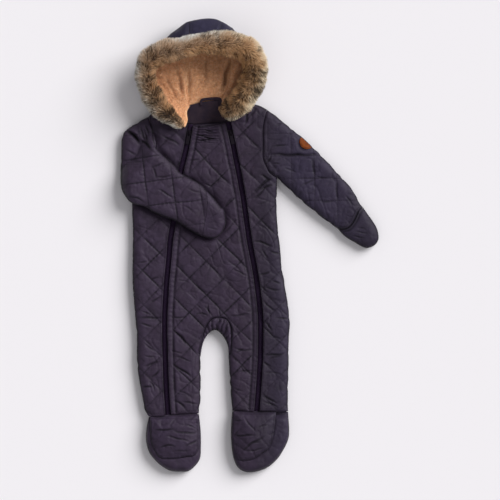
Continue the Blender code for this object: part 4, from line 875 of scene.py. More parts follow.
def thickened(name, grid, normals, outer, inner, material, attributes=None):
    """A closed wall from a grid: outer and inner are depths along its normals."""
    flat, normal = grid.reshape(-1, 3), normals.reshape(-1, 3)
    faces, border = grid_faces(grid.shape)
    if (face_normals(flat, faces) * normal[faces[:, 0]]).sum() > 0:
        faces, border = faces[:, ::-1], border[::-1]
    points = np.vstack([flat + normal * np.reshape(depth, (-1, 1)) for depth in (outer, inner)])
    points[:, 2] = np.maximum(points[:, 2], 0)
    sides = [(p, p + len(flat), q + len(flat), q) for p, q in zip(border, np.roll(border, -1))]
    both = {key: np.concatenate([values, values]) for key, values in (attributes or {}).items()}
    return piece(name, points, [*faces, *(faces[:, ::-1] + len(flat)), *sides], material, both)


def swept(path, section, widths, heights):
    """Points and faces of a bar along a path; section gives sideways and upward offsets."""
    section = np.array(section, float)
    points = []
    for at, left, height, width in zip(path, normals_of(path), heights, widths):
        for across, up in section:
            points.append((*(at[:2] - left * across * width), height + up * width))
    count = len(section)
    last = (len(path) - 1) * count
    faces = [(a + k, a + count + k, a + count + (k + 1) % count, a + (k + 1) % count)
             for a in range(0, last, count) for k in range(count)]
    faces += [tuple(range(count)), tuple(reversed(range(last, last + count)))]
    return np.array(points), faces


def bar(name, path, section, height, material):
    """A piece of one section along a path, at one height or at a height for each point."""
    heights = height + np.zeros(len(path))
    return piece(name, *swept(path, section, np.ones(len(path)), heights), material)


def circle(count):
    """The cosines and sines of angles spread evenly round a circle."""
    angles = np.linspace(0, 2 * math.pi, count, endpoint=False)
    return np.stack([np.cos(angles), np.sin(angles)], 1)


# ---------------------------------------------------------------- nodes


def add(tree, kind, inputs=None, **settings):
    """A node with its settings, and for each input a value or the socket it comes from."""
    node = tree.nodes.new(kind)
    for key, value in settings.items():
        setattr(node, key, value)
    for key, value in (inputs or {}).items():
        if isinstance(value, bpy.types.NodeSocket):
            tree.links.new(value, node.inputs[key])
        else:
            node.inputs[key].default_value = value
    return node


def linear(colour):
    """sRGB hex to linear."""
    channels = [int(colour[i:i + 2], 16) / 255 for i in (0, 2, 4)]
    return (*[c / 12.92 if c <= 0.04045 else ((c + 0.055) / 1.055) ** 2.4 for c in channels], 1.0)


def finish(name, colour, roughness, **sockets):
    """A material with its even values set on the shader's own sockets."""
    material = bpy.data.materials.new(name)
    material.use_nodes = True
    tree = material.node_tree
    shader = tree.nodes["Principled BSDF"]
    shader.inputs["Base Color"].default_value = linear(colour)
    shader.inputs["Roughness"].default_value = roughness
    for key, value in sockets.items():
        shader.inputs[key.replace("_", " ")].default_value = value
    material.diffuse_color = linear(colour)
    place = add(tree, "ShaderNodeTexCoord").outputs["Object"]
    return material, tree, shader, place


def noise(tree, place, millimetres, detail=2.0, rough=0.5):
    """Unevenness whose lumps are about this size."""
    return add(tree, "ShaderNodeTexNoise", {"Vector": place, "Scale": 1000 / millimetres,
                                            "Detail": detail, "Roughness": rough}).outputs["Fac"]


def threads(tree, place, direction, millimetres):
    """Bands one thread apart, across X or Y."""
    scale = 2 * math.pi / (20 * millimetres * MM)
    return add(tree, "ShaderNodeTexWave", {"Vector": place, "Scale": scale, "Distortion": 0.6,
                                           "Detail": 1.0}, bands_direction=direction).outputs["Fac"]


def field(tree, name, output="Fac"):
    """A field that is stored on the mesh."""
    return add(tree, "ShaderNodeAttribute", attribute_name=name).outputs[output]


def maths(tree, operation, *values, **settings):
    return add(tree, "ShaderNodeMath", dict(enumerate(values)), operation=operation,
               **settings).outputs[0]


def ranged(tree, value, low, high, first=0.0, last=1.0):
    """A value from low to high, brought to first to last and held there."""
    return add(tree, "ShaderNodeMapRange",
               {0: value, 1: low, 2: high, 3: first, 4: last}).outputs[0]


def parts_of(tree, vector):
    return add(tree, "ShaderNodeSeparateXYZ", {0: vector}).outputs


def across(tree, place, low, high):
    """How far each place lies from one X to another, in metres."""
    return ranged(tree, parts_of(tree, place)["X"], low, high)


def shaded(tree, fac, *stops):
    """A colour ramp from (place, hex) stops."""
    ramp = add(tree, "ShaderNodeValToRGB", {"Fac": fac})
    elements = ramp.color_ramp.elements
    elements[0].position, elements[1].position = stops[0][0], stops[-1][0]
    for at, _ in stops[1:-1]:
        elements.new(at)
    for element, (_, colour) in zip(elements, stops):
        element.color = linear(colour)
    return ramp.outputs["Color"]


def mixed(tree, fac, a, b, blend="MIX"):
    node = add(tree, "ShaderNodeMix", {0: fac, 6: a, 7: b}, data_type="RGBA", blend_type=blend)
    return node.outputs[2]


def tinted(tree, tone, fac, *stops):
    """A tone multiplied by a colour ramp."""
    return mixed(tree, 1.0, tone, shaded(tree, fac, *stops), "MULTIPLY")


def coloured(tree, shader, tone):
    tree.links.new(tone, shader.inputs["Base Color"])


def bumped(tree, shader, *layers):
    """Bump maps one over another: (height, its depth in millimetres)."""
    normal = None
    for height, depth in layers:
        inputs = {"Height": height, "Distance": depth * MM, "Strength": 1.0}
        if normal is not None:
            inputs["Normal"] = normal
        normal = add(tree, "ShaderNodeBump", inputs).outputs["Normal"]
    tree.links.new(normal, shader.inputs["Normal"])


def padded_cloth(name, dark, mid, light, roughness):
    """Polyester taffeta, woven fine and calendered: dull with a faint silky sheen, and painted
    darker as shade in its hollows, creases and folds and along the quilted lines. Real threads are
    0.15 mm apart, drawn at 0.5."""
    material, tree, shader, place = finish(name, mid, roughness, Sheen_Weight=0.04,
                                           Sheen_Roughness=0.5, Specular_IOR_Level=0.2)
    # Painted shade: the dark colour is mixed in where the top lies in a hollow, along its creases,
    # folds, gathers and seams, and along the quilted lines where the sewing pulls them in.
    low = maths(tree, "MAXIMUM", ranged(tree, field(tree, "painted_shade"), 0.0, 2.8), field(tree, "line"))
    sewing = parts_of(tree, field(tree, "sewing", "Vector"))
    for axis in ("X", "Y"):
        away = maths(tree, "PINGPONG", sewing[axis], 0.5)
        near = ranged(tree, away, 0.007, 0.04, 1.0, 0.0)
        held = maths(tree, "MULTIPLY", near, sewing["Z"])
        low = maths(tree, "MAXIMUM", low, held, use_clamp=True)
    tone = shaded(tree, noise(tree, place, 22), (0.3, mid), (0.7, light))
    # The cloth is a little bluer towards the wearer's left.
    left = across(tree, place, -0.02, 0.22)
    tone = mixed(tree, ranged(tree, left, 0.0, 0.17, 0.0, 0.7), tone,
                 shaded(tree, left, (0.0, mid), (0.2, "2c2534"), (0.44, "352f46"),
                        (0.76, "332d42"), (0.9, "2a2536")))
    # Painted light: the cloth is a little lighter towards the body's right side (-X), where the
    # light falls on its slope.
    tone = tinted(tree, tone, across(tree, place, -0.14, -0.06), (0.0, "ffffff"), (1.0, "f3f1f2"))
    tone = tinted(tree, tone, noise(tree, place, 9, 4.0, 0.65), (0.3, "dcdcdc"), (0.7, "ffffff"))
    coloured(tree, shader, mixed(tree, low, tone, linear(dark)))
    weave = mixed(tree, 0.5, threads(tree, place, "X", 0.5), threads(tree, place, "Y", 0.5))
    crease = add(tree, "ShaderNodeTexNoise",
                 {"Vector": place, "Scale": 75.0, "Detail": 3.0, "Roughness": 0.6,
                  "Lacunarity": 2.3, "Distortion": 0.6},
                 noise_type="RIDGED_MULTIFRACTAL", normalize=True).outputs["Fac"]
    bumped(tree, shader, (crease, -1.1), (noise(tree, place, 9, 4.0, 0.6), 0.5),
           (noise(tree, place, 2.2, 2.0), 0.1), (weave, 0.015))
    return material


def make_finishes():
    made = {slot: padded_cloth(*cloth) for slot, cloth in CLOTHS.items()}

    # Borg fleece: knitted with a cut pile that curls into small matt tufts.
    made["fleece"], tree, shader, place = finish("Borg fleece, tan", "a97a54", 0.95,
                                                 Sheen_Weight=0.25)
    curls = noise(tree, place, 3.2, 3.0, 0.6)
    tone = shaded(tree, curls, (0.32, "d69e70"), (0.5, "f6b988"), (0.68, "ffd4a8"))
    # Painted shade in the fleece's folds and towards the hood's upper right.
    coloured(tree, shader, tinted(tree, tone, field(tree, "deep"), *PAINTED_FLEECE_SHADE))
    bumped(tree, shader, (curls, 1.6), (noise(tree, place, 1.2), 0.4))
    made["fleece_pile"], tree, shader, place = finish("Borg fleece pile, tan", "b08059", 0.9,
                                                      Sheen_Weight=0.2)
    root = shaded(tree, field(tree, "along"), (0.0, "d8a278"), (1.0, "ffcea4"))
    hair = shaded(tree, field(tree, "shade"), (0.0, "dba077"), (1.0, "ffdab2"))
    tone = mixed(tree, 0.5, root, hair)
    # Painted shade in the pile's folds and towards the hood's upper right.
    coloured(tree, shader, tinted(tree, tone, field(tree, "deep"), *PAINTED_FLEECE_SHADE))

    # Faux fur: acrylic pile, dark at the root and cream at the tip of the longest hairs.
    made["fur_base"], tree, shader, place = finish("Faux fur backing", "5a4333", 0.95)
    coloured(tree, shader, shaded(tree, noise(tree, place, 6, 3.0),
                                  (0.3, "5a4332"), (0.7, "8a6c52")))
    bumped(tree, shader, (noise(tree, place, 3), 1.0))
    made["fur_pile"], tree, shader, place = finish("Faux fur pile, brown", "6b5340", 0.6,
                                                   Sheen_Weight=0.1)
    along, shade = field(tree, "along"), field(tree, "shade")
    band = maths(tree, "MULTIPLY_ADD", shade, 0.35, field(tree, "outer"))
    band = ranged(tree, maths(tree, "MULTIPLY_ADD", along, 0.7, band), -0.8, 1.8)
    tint = shaded(tree, band, (0.1, "bc9068"), (0.3, "f2c492"), (0.5, "d2ae8c"), (0.72, "eed2b4"),
                  (0.9, "fffdf8"))
    light = shaded(tree, along, (0.0, "605a54"), (0.45, "e6e4e0"), (1.0, "ffffff"))
    # Each hair's lock tone: random, with painted light along the hood's top.
    lock = maths(tree, "MULTIPLY_ADD", shade, 0.85, field(tree, "lock"))
    light = tinted(tree, light, lock, (0.15, "463b2e"), (0.46, "9a8c7a"), (0.72, "f4ede4"),
                   (0.95, "ffffff"))
    light = tinted(tree, light, across(tree, place, -0.07, -0.01), (0.0, "ffffff"), (1.0, "fbeed6"))
    coloured(tree, shader, mixed(tree, 1.0, tint, light, "MULTIPLY"))

    # Zip tape: polyester twill, matt. Its coil is nylon monofilament, smooth and glossier.
    made["tape"], tree, shader, place = finish("Polyester zip tape, black", "36263f", 0.85,
                                               Specular_IOR_Level=0.1)
    bumped(tree, shader, (threads(tree, place, "Y", 0.9), 0.12))
    made["coil"], tree, shader, place = finish("Nylon zip coil, black", "2b1d35", 0.6, IOR=1.53,
                                               Specular_IOR_Level=0.15)
    bumped(tree, shader, (noise(tree, place, 1.5), 0.05))
    made["thread"], tree, shader, place = finish("Polyester sewing thread, navy", "2a2132", 0.6,
                                                 Specular_IOR_Level=0.2)
    bumped(tree, shader, (threads(tree, place, "X", 0.4), 0.05))

    # Cotton jersey: knitted in fine ribs 1 mm apart, matt and dark.
    made["jersey"], tree, shader, place = finish("Cotton jersey, black", "1c151f", 0.9,
                                                 Specular_IOR_Level=0.2)
    coloured(tree, shader, shaded(tree, noise(tree, place, 12), (0.3, "2a212e"), (0.7, "362a33")))
    bumped(tree, shader, (noise(tree, place, 9, 3.0), 0.8), (threads(tree, place, "X", 1.0), 0.15))

    # Vegetable-tanned leather: waxed, with a fine grain.
    made["leather"], tree, shader, place = finish("Vegetable-tanned leather, tan", "743710", 0.65,
                                                  Specular_IOR_Level=0.12)
    grain = add(tree, "ShaderNodeTexVoronoi", {"Vector": place, "Scale": 900.0}).outputs["Distance"]
    coloured(tree, shader, shaded(tree, noise(tree, place, 7, 4.0),
                                  (0.3, "66300d"), (0.7, "803f13")))
    bumped(tree, shader, (grain, 0.15), (noise(tree, place, 4), 0.2))

    # Zinc die casting under black lacquer: smooth with soft glints.
    made["metal"], tree, shader, place = finish("Black lacquered zinc", "120b15", 0.6,
                                                Specular_IOR_Level=0.12)
    bumped(tree, shader, (noise(tree, place, 1.6), 0.04))
    return made


def new_tree(name, inputs):
    """A Geometry Nodes tree with named inputs for its sizes, and its input node's outputs."""
    tree = bpy.data.node_groups.new(name, "GeometryNodeTree")
    tree.interface.new_socket("Geometry", in_out="INPUT", socket_type="NodeSocketGeometry")
    tree.interface.new_socket("Geometry", in_out="OUTPUT", socket_type="NodeSocketGeometry")
    for key, kind in inputs.items():
        tree.interface.new_socket(key, in_out="INPUT", socket_type="NodeSocket" + kind)
    return tree, add(tree, "NodeGroupInput").outputs


def ended(tree, points, instance, rotation, material, **scale):
    """Sets the instances on the points, makes them real and ends the tree."""
    placed = add(tree, "GeometryNodeInstanceOnPoints",
                 {"Points": points, "Instance": instance, "Rotation": rotation, **scale}).outputs[0]
    real = add(tree, "GeometryNodeRealizeInstances", {0: placed}).outputs[0]
    smooth_set = add(tree, "GeometryNodeSetShadeSmooth", {0: real}).outputs[0]
    done = add(tree, "GeometryNodeSetMaterial",
               {"Geometry": smooth_set, "Material": material}).outputs[0]
    add(tree, "NodeGroupOutput", {0: done})
    return tree


def stored(tree, geometry, name, value):
    """Geometry with a number stored at each of its points."""
    return add(tree, "GeometryNodeStoreNamedAttribute",
               {"Geometry": geometry, "Name": name, "Value": value},
               data_type="FLOAT", domain="POINT").outputs[0]


def chance(tree, low, high, seed):
    """A random number for each point, or a random vector from a pair of vectors."""
    vector = isinstance(low, tuple)
    node = add(tree, "FunctionNodeRandomValue",
               {0 if vector else 2: low, 1 if vector else 3: high, "Seed": seed},
               data_type="FLOAT_VECTOR" if vector else "FLOAT")
    return node.outputs[0 if vector else 1]


def vector_of(tree, **values):
    return add(tree, "ShaderNodeCombineXYZ", values).outputs[0]


def lined_up(tree, vector, axis):
    """The rotation that turns an axis to a vector."""
    return add(tree, "FunctionNodeAlignRotationToVector", {"Vector": vector}, axis=axis).outputs[0]


def pile_tree():
    """Tapered hairs scattered over a surface, each leaning the way its backing is brushed."""
    tree, given = new_tree("Pile", {"Density": "Float", "Length": "Float", "Thickness": "Float",
                                    "Curl": "Float", "Unevenness": "Float", "Seed": "Int",
                                    "Material": "Material"})
    scattered = add(tree, "GeometryNodeDistributePointsOnFaces",
                    {"Mesh": given["Geometry"], "Density": given["Density"], "Seed": given["Seed"]})
    points = stored(tree, scattered.outputs["Points"], "shade", chance(tree, 0.0, 1.0, 3))
    hair = add(tree, "GeometryNodeMeshCone",
               {"Vertices": 3, "Side Segments": 1, "Radius Top": 0.12, "Radius Bottom": 1.0,
                "Depth": 1.0}, fill_type="NONE").outputs["Mesh"]
    height = parts_of(tree, add(tree, "GeometryNodeInputPosition").outputs[0])["Z"]
    hair = stored(tree, hair, "along", height)
    lean = maths(tree, "MULTIPLY", maths(tree, "MULTIPLY", height, height), given["Curl"])
    hair = add(tree, "GeometryNodeSetPosition",
               {"Geometry": hair, "Offset": vector_of(tree, X=lean)}).outputs[0]
    lie = add(tree, "GeometryNodeInputNamedAttribute", {"Name": "lie"},
              data_type="FLOAT_VECTOR").outputs[0]
    astray = add(tree, "ShaderNodeVectorMath",
                 {0: chance(tree, (-1, -1, -1), (1, 1, 1), 5), "Scale": given["Unevenness"]},
                 operation="SCALE").outputs[0]
    lie = add(tree, "ShaderNodeVectorMath", {0: lie, 1: astray}, operation="ADD").outputs[0]
    rolled = chance(tree, (0, 0, 0), (0, 0, 2 * math.pi), 6)
    stood = add(tree, "FunctionNodeRotateRotation", {0: lined_up(tree, lie, "Z"), 1: rolled},
                rotation_space="LOCAL").outputs[0]
    reach = add(tree, "GeometryNodeInputNamedAttribute", {"Name": "reach"},
                data_type="FLOAT").outputs[0]
    long = maths(tree, "MULTIPLY", chance(tree, 0.8, 1.0, 9), given["Length"])
    size = vector_of(tree, X=given["Thickness"], Y=given["Thickness"],
                     Z=maths(tree, "MULTIPLY", long, reach))
    return ended(tree, points, hair, stood, given["Material"], Scale=size)


def row_tree():
    """Small rods set one after another along a line: stitches, or the links of a zip's coil."""
    tree, given = new_tree("Row", {"Pitch": "Float", "Length": "Float", "Thickness": "Float",
                                   "Turn": "Vector", "Material": "Material"})
    line = add(tree, "GeometryNodeMeshToCurve", {"Mesh": given["Geometry"]}).outputs[0]
    line = add(tree, "GeometryNodeResampleCurve", {"Curve": line, "Length": given["Pitch"]},
               mode="LENGTH").outputs[0]
    rod = add(tree, "GeometryNodeMeshCylinder",
              {"Vertices": 5, "Radius": 0.5, "Depth": 1.0}).outputs["Mesh"]
    size = vector_of(tree, X=given["Thickness"], Y=given["Thickness"], Z=given["Length"])
    for change, value in (("Scale", size), ("Rotation", given["Turn"])):
        rod = add(tree, "GeometryNodeTransform", {"Geometry": rod, change: value}).outputs[0]
    ahead = add(tree, "GeometryNodeInputTangent").outputs[0]
    return ended(tree, line, rod, lined_up(tree, ahead, "X"), given["Material"])


def grown(name, base, tree, inputs):
    """Runs a tree on a base object and keeps the result as a plain mesh, under a new name."""
    modifier = base.modifiers.new("grow", "NODES")
    modifier.node_group = tree
    sockets = {item.name: item.identifier for item in tree.interface.items_tree
               if item.in_out == "INPUT"}
    for key, value in inputs.items():
        modifier[sockets[key]] = value
    bpy.context.view_layer.update()
    solved = base.evaluated_get(bpy.context.evaluated_depsgraph_get())
    mesh = bpy.data.meshes.new_from_object(solved)
    base.modifiers.remove(modifier)
    bpy.data.objects.remove(base)
    mesh.name = name
    made = bpy.data.objects.new(name, mesh)
    scene.collection.objects.link(made)
    return made


def rows_of(name, lines, material, pitch, length, thickness, across=False):
    """One piece from rods along many lines in space."""
    mesh = bpy.data.meshes.new(name)
    edges, start = [], 0
    for line in lines:
        edges += [(start + k, start + k + 1) for k in range(len(line) - 1)]
        start += len(line)
    mesh.from_pydata((np.vstack(lines) * MM).tolist(), edges, [])
    base = bpy.data.objects.new(name + "_line", mesh)
    scene.collection.objects.link(base)
    turn = (math.pi / 2, 0, 0) if across else (0, math.pi / 2, 0)
    return grown(name, base, ROWS, {
        "Pitch": pitch * MM, "Length": length * MM, "Thickness": thickness * MM,
        "Turn": turn, "Material": material})


def pile_on(name, points, faces, fields, material, density, length, thickness, curl, uneven, seed):
    """One piece from hairs over a surface, which is gone afterwards."""
    base = piece(name + "_backing", points, faces, material, fields)
    return grown(name, base, PILE, {
        "Density": density, "Length": length * MM, "Thickness": thickness * MM,
        "Curl": curl, "Unevenness": uneven, "Seed": seed, "Material": material})


# ---------------------------------------------------------------- belonging


def belongs(made, slot, *nodes):
    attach(made, "garment")
    if nodes:
        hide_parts(*nodes)
    return made


def cut(loop, turn=0.0, layers=1):
    """The flat size of a cut piece from its outline, in metres, and its area."""
    width, length = np.ptp(loop @ quilt_axes(turn).T, axis=0) * MM
    area = abs(twice_area(loop)) / 2 * MM * MM
    return (width * layers, length), area * layers


def stated(made, flat, area):
    """A cut piece's area from its flat size, no less than LEAST_FILL of its flat rectangle."""
    area = max(area, LEAST_FILL * flat[0] * flat[1])


def declared(made, loop, turn=0.0, layers=1):
    flat, area = cut(loop, turn, layers)
    stated(made, flat, min(area, flat[0] * flat[1]))


# ---------------------------------------------------------------- the suit


stitched = []  # every sewn line, as points in space


def sewn(path, top, lift=0.25):
    """Adds a line of stitches along a path in plan, on the given height."""
    path = curve(path, STITCH_STEP)
    stitched.append(np.column_stack([path, top(path) + lift]))


def quilt_lines(loop, quilt, top, clear=None):
    """The quilting's stitched lines over an outline, broken where the cloth is covered."""
    axes, pitch = quilt_axes(quilt["turn"]), np.array(quilt["pitch"])
    reach = np.ptp(loop, axis=0).max()
    middle = np.round((loop.mean(0) - quilt["cross"]) @ axes.T / pitch) * pitch
    run = np.arange(-reach, reach, STITCH_STEP)
    for k in (0, 1):
        for line in np.arange(-reach // pitch[k] - 1, reach // pitch[k] + 2) * pitch[k]:
            local = np.zeros((len(run), 2))
            local[:, k], local[:, 1 - k] = line + middle[k], run + middle[1 - k]
            points = local @ axes + quilt["cross"]
            for _ in range(2):
                off = quilt_place(points, quilt)[:, k] - np.round((line + middle[k]) / pitch[k])
                points = points - (off * pitch[k])[:, None] * axes[k]
            shown = inside(points, loop)
            shown[shown] = distance_to(points[shown], ring(loop)[::2]) > 3
            if clear is not None and shown.any():
                shown[shown] = clear(points[shown])
            marks = np.flatnonzero(np.diff(np.concatenate([[0], shown.astype(int), [0]])))
            for start, stop in zip(marks[::2], marks[1::2]):
                if stop - start > 4:
                    part = points[start:stop]
                    stitched.append(np.column_stack([part, top(part) + 0.15]))


def shows_quilting(points):
    """Clear of the folded sleeve, the gathers and the plackets."""
    near = distance_to(points, zip_r[::2], zip_l[::2]) < ZIP_HALF + PLACKET + 1.5
    open_field = (uncovered(points) > 0.5) & (gathered(points)[0] < 0.3)
    return open_field & ~(near & inside(points, between_zips))


def make_front(done):
    outer_r, inner_r = beside(zip_r, -ZIP_HALF), beside(zip_r, ZIP_HALF)
    inner_l, outer_l = beside(zip_l, -ZIP_HALF), beside(zip_l, ZIP_HALF)
    loops = {
        "front_side_r": loop_of(neck_r, outer_r, between(hem_r, -180, outer_r[-1][0] - 1)[::-1],
                                side_r[::-1], armhole_r[::-1], shoulder_r[::-1]),
        "front_side_l": loop_of(neck_l, outer_l, between(hem_l, outer_l[-1][0] + 1, 80),
                                side_l[::-1], armhole_l[::-1], shoulder_l[::-1]),
        "front_center": loop_of(inner_r, between(hem_r, inner_r[-1][0] + 1, -80), inseam_r[::-1],
                                arch, inseam_l, between(hem_l, -40, inner_l[-1][0] - 1),
                                inner_l[::-1]),
    }
    # Topstitching: beside the zips, over the hems, and along the arch, neck and armhole.
    above_hem = [0, 6]
    sewing = {
        "front_side_r": [beside(outer_r, -2.5)[3:-2], between(hem_r, -170, -152) + above_hem,
                         between(beside(neck_r, -4), -155, -112)],
        "front_side_l": [beside(outer_l, 2.5)[3:-2], between(hem_l, 20, 62) + above_hem,
                         beside(armhole_l, -3)[2:-3]],
        "front_center": [*(line[4:-4] for line in topstitch), beside(inner_r, 2.5)[3:-2],
                         beside(inner_l, -2.5)[3:-2], beside(arch, 2.5)[2:-2],
                         between(hem_r, -134, -92) + above_hem, between(hem_l, -26, 4) + above_hem],
    }
    for seed, (name, loop) in enumerate(loops.items()):
        loop = scalloped(inset(loop, GAP / 2), free_edges, QUILTS[name])
        top = front_top(name, loop, 20 + 11 * seed)
        made = wall(name + "_cloth", loop, top, level(FRONT_Z), done["quilted"], under=COARSE,
                    quilt=QUILTS[name], seams=[ring(loop)])
        belongs(made, "quilted", name)
        declared(made, loop)
        quilt_lines(loop, QUILTS[name], top, shows_quilting)
        for path in sewing[name]:
            sewn(path, top)
    gusset = inset(loop_of(arch, crotch[::-1]), GAP / 2)

    def gusset_top(points):
        height = front_top("gusset", gusset, 3)(points)
        return height - 1.7 * gusset_wave(points) * ease(distance_to(points, ring(gusset)) / 4)

    made = wall("crotch_gusset_cloth", gusset, gusset_top, level(FRONT_Z), done["plain"], under=6.0)
    belongs(made, "plain", "crotch_gusset")


def make_back(done):
    neck = curve(NECK_BACK, STEP)
    loop = loop_of(neck_r[neck_r[:, 0] < -128], neck, neck_l[neck_l[:, 0] > -24][::-1], shoulder_l,
                   armhole_l, side_l, hem_l[::-1], inseam_l[::-1], crotch[::-1], inseam_r,
                   hem_r[::-1], side_r[::-1], armhole_r[::-1], shoulder_r[::-1])
    loop = scalloped(inset(loop, GAP / 2), free_edges, QUILTS["back"])

    def under(points):
        """Rests flat; the quilting and a few creases are soft troughs in it."""
        pressed = PUFF - quilted(points, QUILTS["back"])
        low = ease(distance_to(points, ring(loop)[::2]) / 20)
        bent = np.clip(creased(points, CREASES["back"]), 0, 3)
        trough = np.clip(pressed - 1.6, 0, 3) * 0.9 + bent
        return under_side(points, loop[::3]) + trough * low

    made = wall("back_cloth", loop, level(BACK_WALL), under, done["quilted"], over=COARSE,
                under=3.2)
    belongs(made, "quilted", "back")
    declared(made, loop)


BODY_EDGE = curve([(-163, 170), (-172, 147), (-186, 128), (-202, 117), (-205, 93), (-205, 66)], 8.0)


def folded_base(points):
    """How high the folded sleeve lies: on the body, and down to the surface outside it."""
    chest = loop_of(BODY_EDGE, np.array([(-205.0, 0.0), (0.0, 0.0), (0.0, 170.0)]))
    away = np.where(inside(points, chest), 0, distance_to(points, BODY_EDGE))
    return SLEEVE_LIFT * (1 - clipped((away - 1) / 26) ** 1.5)


def tube_top(name, loop, base, seams, free, seed, full=None):
    """Height of a tube laid flat on a base. full says how far its quilting rises, up to 1."""
    quilt = QUILTS["sleeve_" + name[-1]]

    def top(points):
        share = 1 if full is None else full(points)
        rise = quilted(points, quilt) * share
        height = base(points) + FRONT_Z + padded_wall(points, free, seams, rise)
        edge = ease(distance_to(points, ring(loop)[::2]) / 7)
        calm = edge if full is None else edge * clipped(share + 0.15)
        height += handled(points, seed) * calm
        return height - worn(points, name) * edge
    return top


def tube(name, kind, loop, top, base, done, **detail):
    """A sleeve or mitten: a tube laid flat on a base, with a slot through its middle."""
    made = wall(name + "_cloth", loop, top, lambda p: base(p) + under_side(p, loop[::2]),
                done[kind], room=lambda p: base(p) + BACK_WALL, **detail)
    return belongs(made, kind, name)


def make_sleeve_r(done):
    """The sleeve that is folded over the chest, and its mitten."""
    inner, outer = curve(SLEEVE_R_INNER, STEP), curve(SLEEVE_R_OUTER, STEP)
    loop = inset(loop_of(outer, cuff_r[::-1], inner[::-1], armhole_top[::-1]), GAP / 2)
    loop = scalloped(loop, [inner, outer], QUILTS["sleeve_r"])
    top = tube_top("sleeve_r", loop, folded_base, [armhole_top], [inner, outer], 61)
    made = tube("sleeve_r", "quilted", loop, top, folded_base, done, quilt=QUILTS["sleeve_r"],
                seams=[armhole_top])
    declared(made, loop, turn=-35, layers=2)
    quilt_lines(loop, QUILTS["sleeve_r"], top)
    round_mitten = curve(MITTEN_R, STEP)
    mitten = inset(loop_of(round_mitten, cuff_r[::-1]), GAP / 2)
    top = tube_top("mitten_r", mitten, folded_base, [], [round_mitten], 67, level(0.5))
    made = tube("mitten_r", "plain", mitten, top, folded_base, done)
    declared(made, mitten, layers=2)
    cuff = cuff_r[1:-1]
    seam_inside("cuff_seam_r", cuff, [inner, outer, round_mitten], -0.6, done, folded_base(cuff))


def make_sleeve_l(done):
    """The sleeve that lies straight out, its patch, and the mitten folded over at its end."""
    upper, lower = curve(SLEEVE_L_UPPER, STEP), curve(SLEEVE_L_LOWER, STEP)
    loop = inset(loop_of(upper, cuff_l[::-1], lower[::-1], armhole_l[::-1]), GAP / 2)
    loop = scalloped(loop, [upper, lower], QUILTS["sleeve_l"])
    sleeve_hem, mitten_hem = [beside(cuff_l, away)[1:-1] for away in (4.6, -4.2)]

    def from_patch(points):
        return np.linalg.norm(points - PATCH_CENTRE, axis=1) - PATCH_RADIUS

    top = tube_top("sleeve_l", loop, level(0.0), [armhole_l, cuff_l], [upper, lower], 83,
                   lambda p: ease((from_patch(p) - 4) / 8))
    made = tube("sleeve_l", "quilted", loop, top, level(0.0), done, quilt=QUILTS["sleeve_l"],
                seams=[armhole_l, cuff_l, sleeve_hem])
    declared(made, loop, turn=-45, layers=2)
    quilt_lines(loop, QUILTS["sleeve_l"], top, lambda p: from_patch(p) > 1)
    sewn(sleeve_hem[1:-1], top)
    make_patch(done, loop, top)
    seam_inside("armhole_seam_l", armhole_l[1:-1], [upper, lower, side_l, shoulder_l], 1.4, done)
    seam_inside("cuff_seam_l", cuff_l[1:-1], [upper, lower], 4.0, done)
    round_mitten = curve(MITTEN_L, STEP)
    mitten = inset(loop_of(round_mitten, cuff_l), GAP / 2)
    top = tube_top("mitten_l", mitten, level(0.0), [cuff_l, mitten_hem], [round_mitten], 71,
                   level(0.4))
    made = tube("mitten_l", "plain", mitten, top, level(0.0), done, seams=[mitten_hem])
    declared(made, mitten, layers=2)


def make_patch(done, sleeve_loop, sleeve_top):
    """A round leather patch on the sleeve, trimmed where it would pass over the edge."""
    loop = PATCH_CENTRE + PATCH_RADIUS * circle(60)
    edge = ring(inset(sleeve_loop, PATCH_EDGE))
    start, along = edge[:-1], np.diff(edge, axis=0)
    for k, point in enumerate(loop):
        if not inside(point[None], start)[0]:
            t = clipped(((point - start) * along).sum(1) / (along * along).sum(1))
            near = start + t[:, None] * along
            loop[k] = near[np.linalg.norm(near - point, axis=1).argmin()]
    loop = loop[np.linalg.norm(loop - np.roll(loop, 1, axis=0), axis=1) > 0.5]
    sewn_in = 2.2

    def top(points):
        """Rolled at its cut edge and pulled in along its stitching."""
        away = distance_to(points, ring(loop))
        rolled = 0.7 * (1 - rounded(away / 1.2))
        pulled = 0.35 * bell((away - sewn_in) / 0.8)
        return sleeve_top(points) + 2.4 - rolled - pulled + 0.15 * rumple(points, 6, 5)

    made = wall("patch_leather", loop, top, lambda p: sleeve_top(p) + 0.6, done["leather"],
                over=1.0, under=3.0)
    belongs(made, "leather", "patch")
    sewn(ring(inset(loop, sewn_in)), top, 0.1)


def seam_inside(name, path, free, deep, done, base=0.0):
    """The turned-in edges of two pieces, sewn together this deep under their seam."""
    height = base + FRONT_Z + padded_wall(path, free, [path], 0.0) - 2.0 - deep
    section = [(-1.4, 0), (1.4, 0), (1.2, 2.0), (-1.2, 2.0)]
    belongs(bar(name, path, section, height, done["plain"]), "plain")


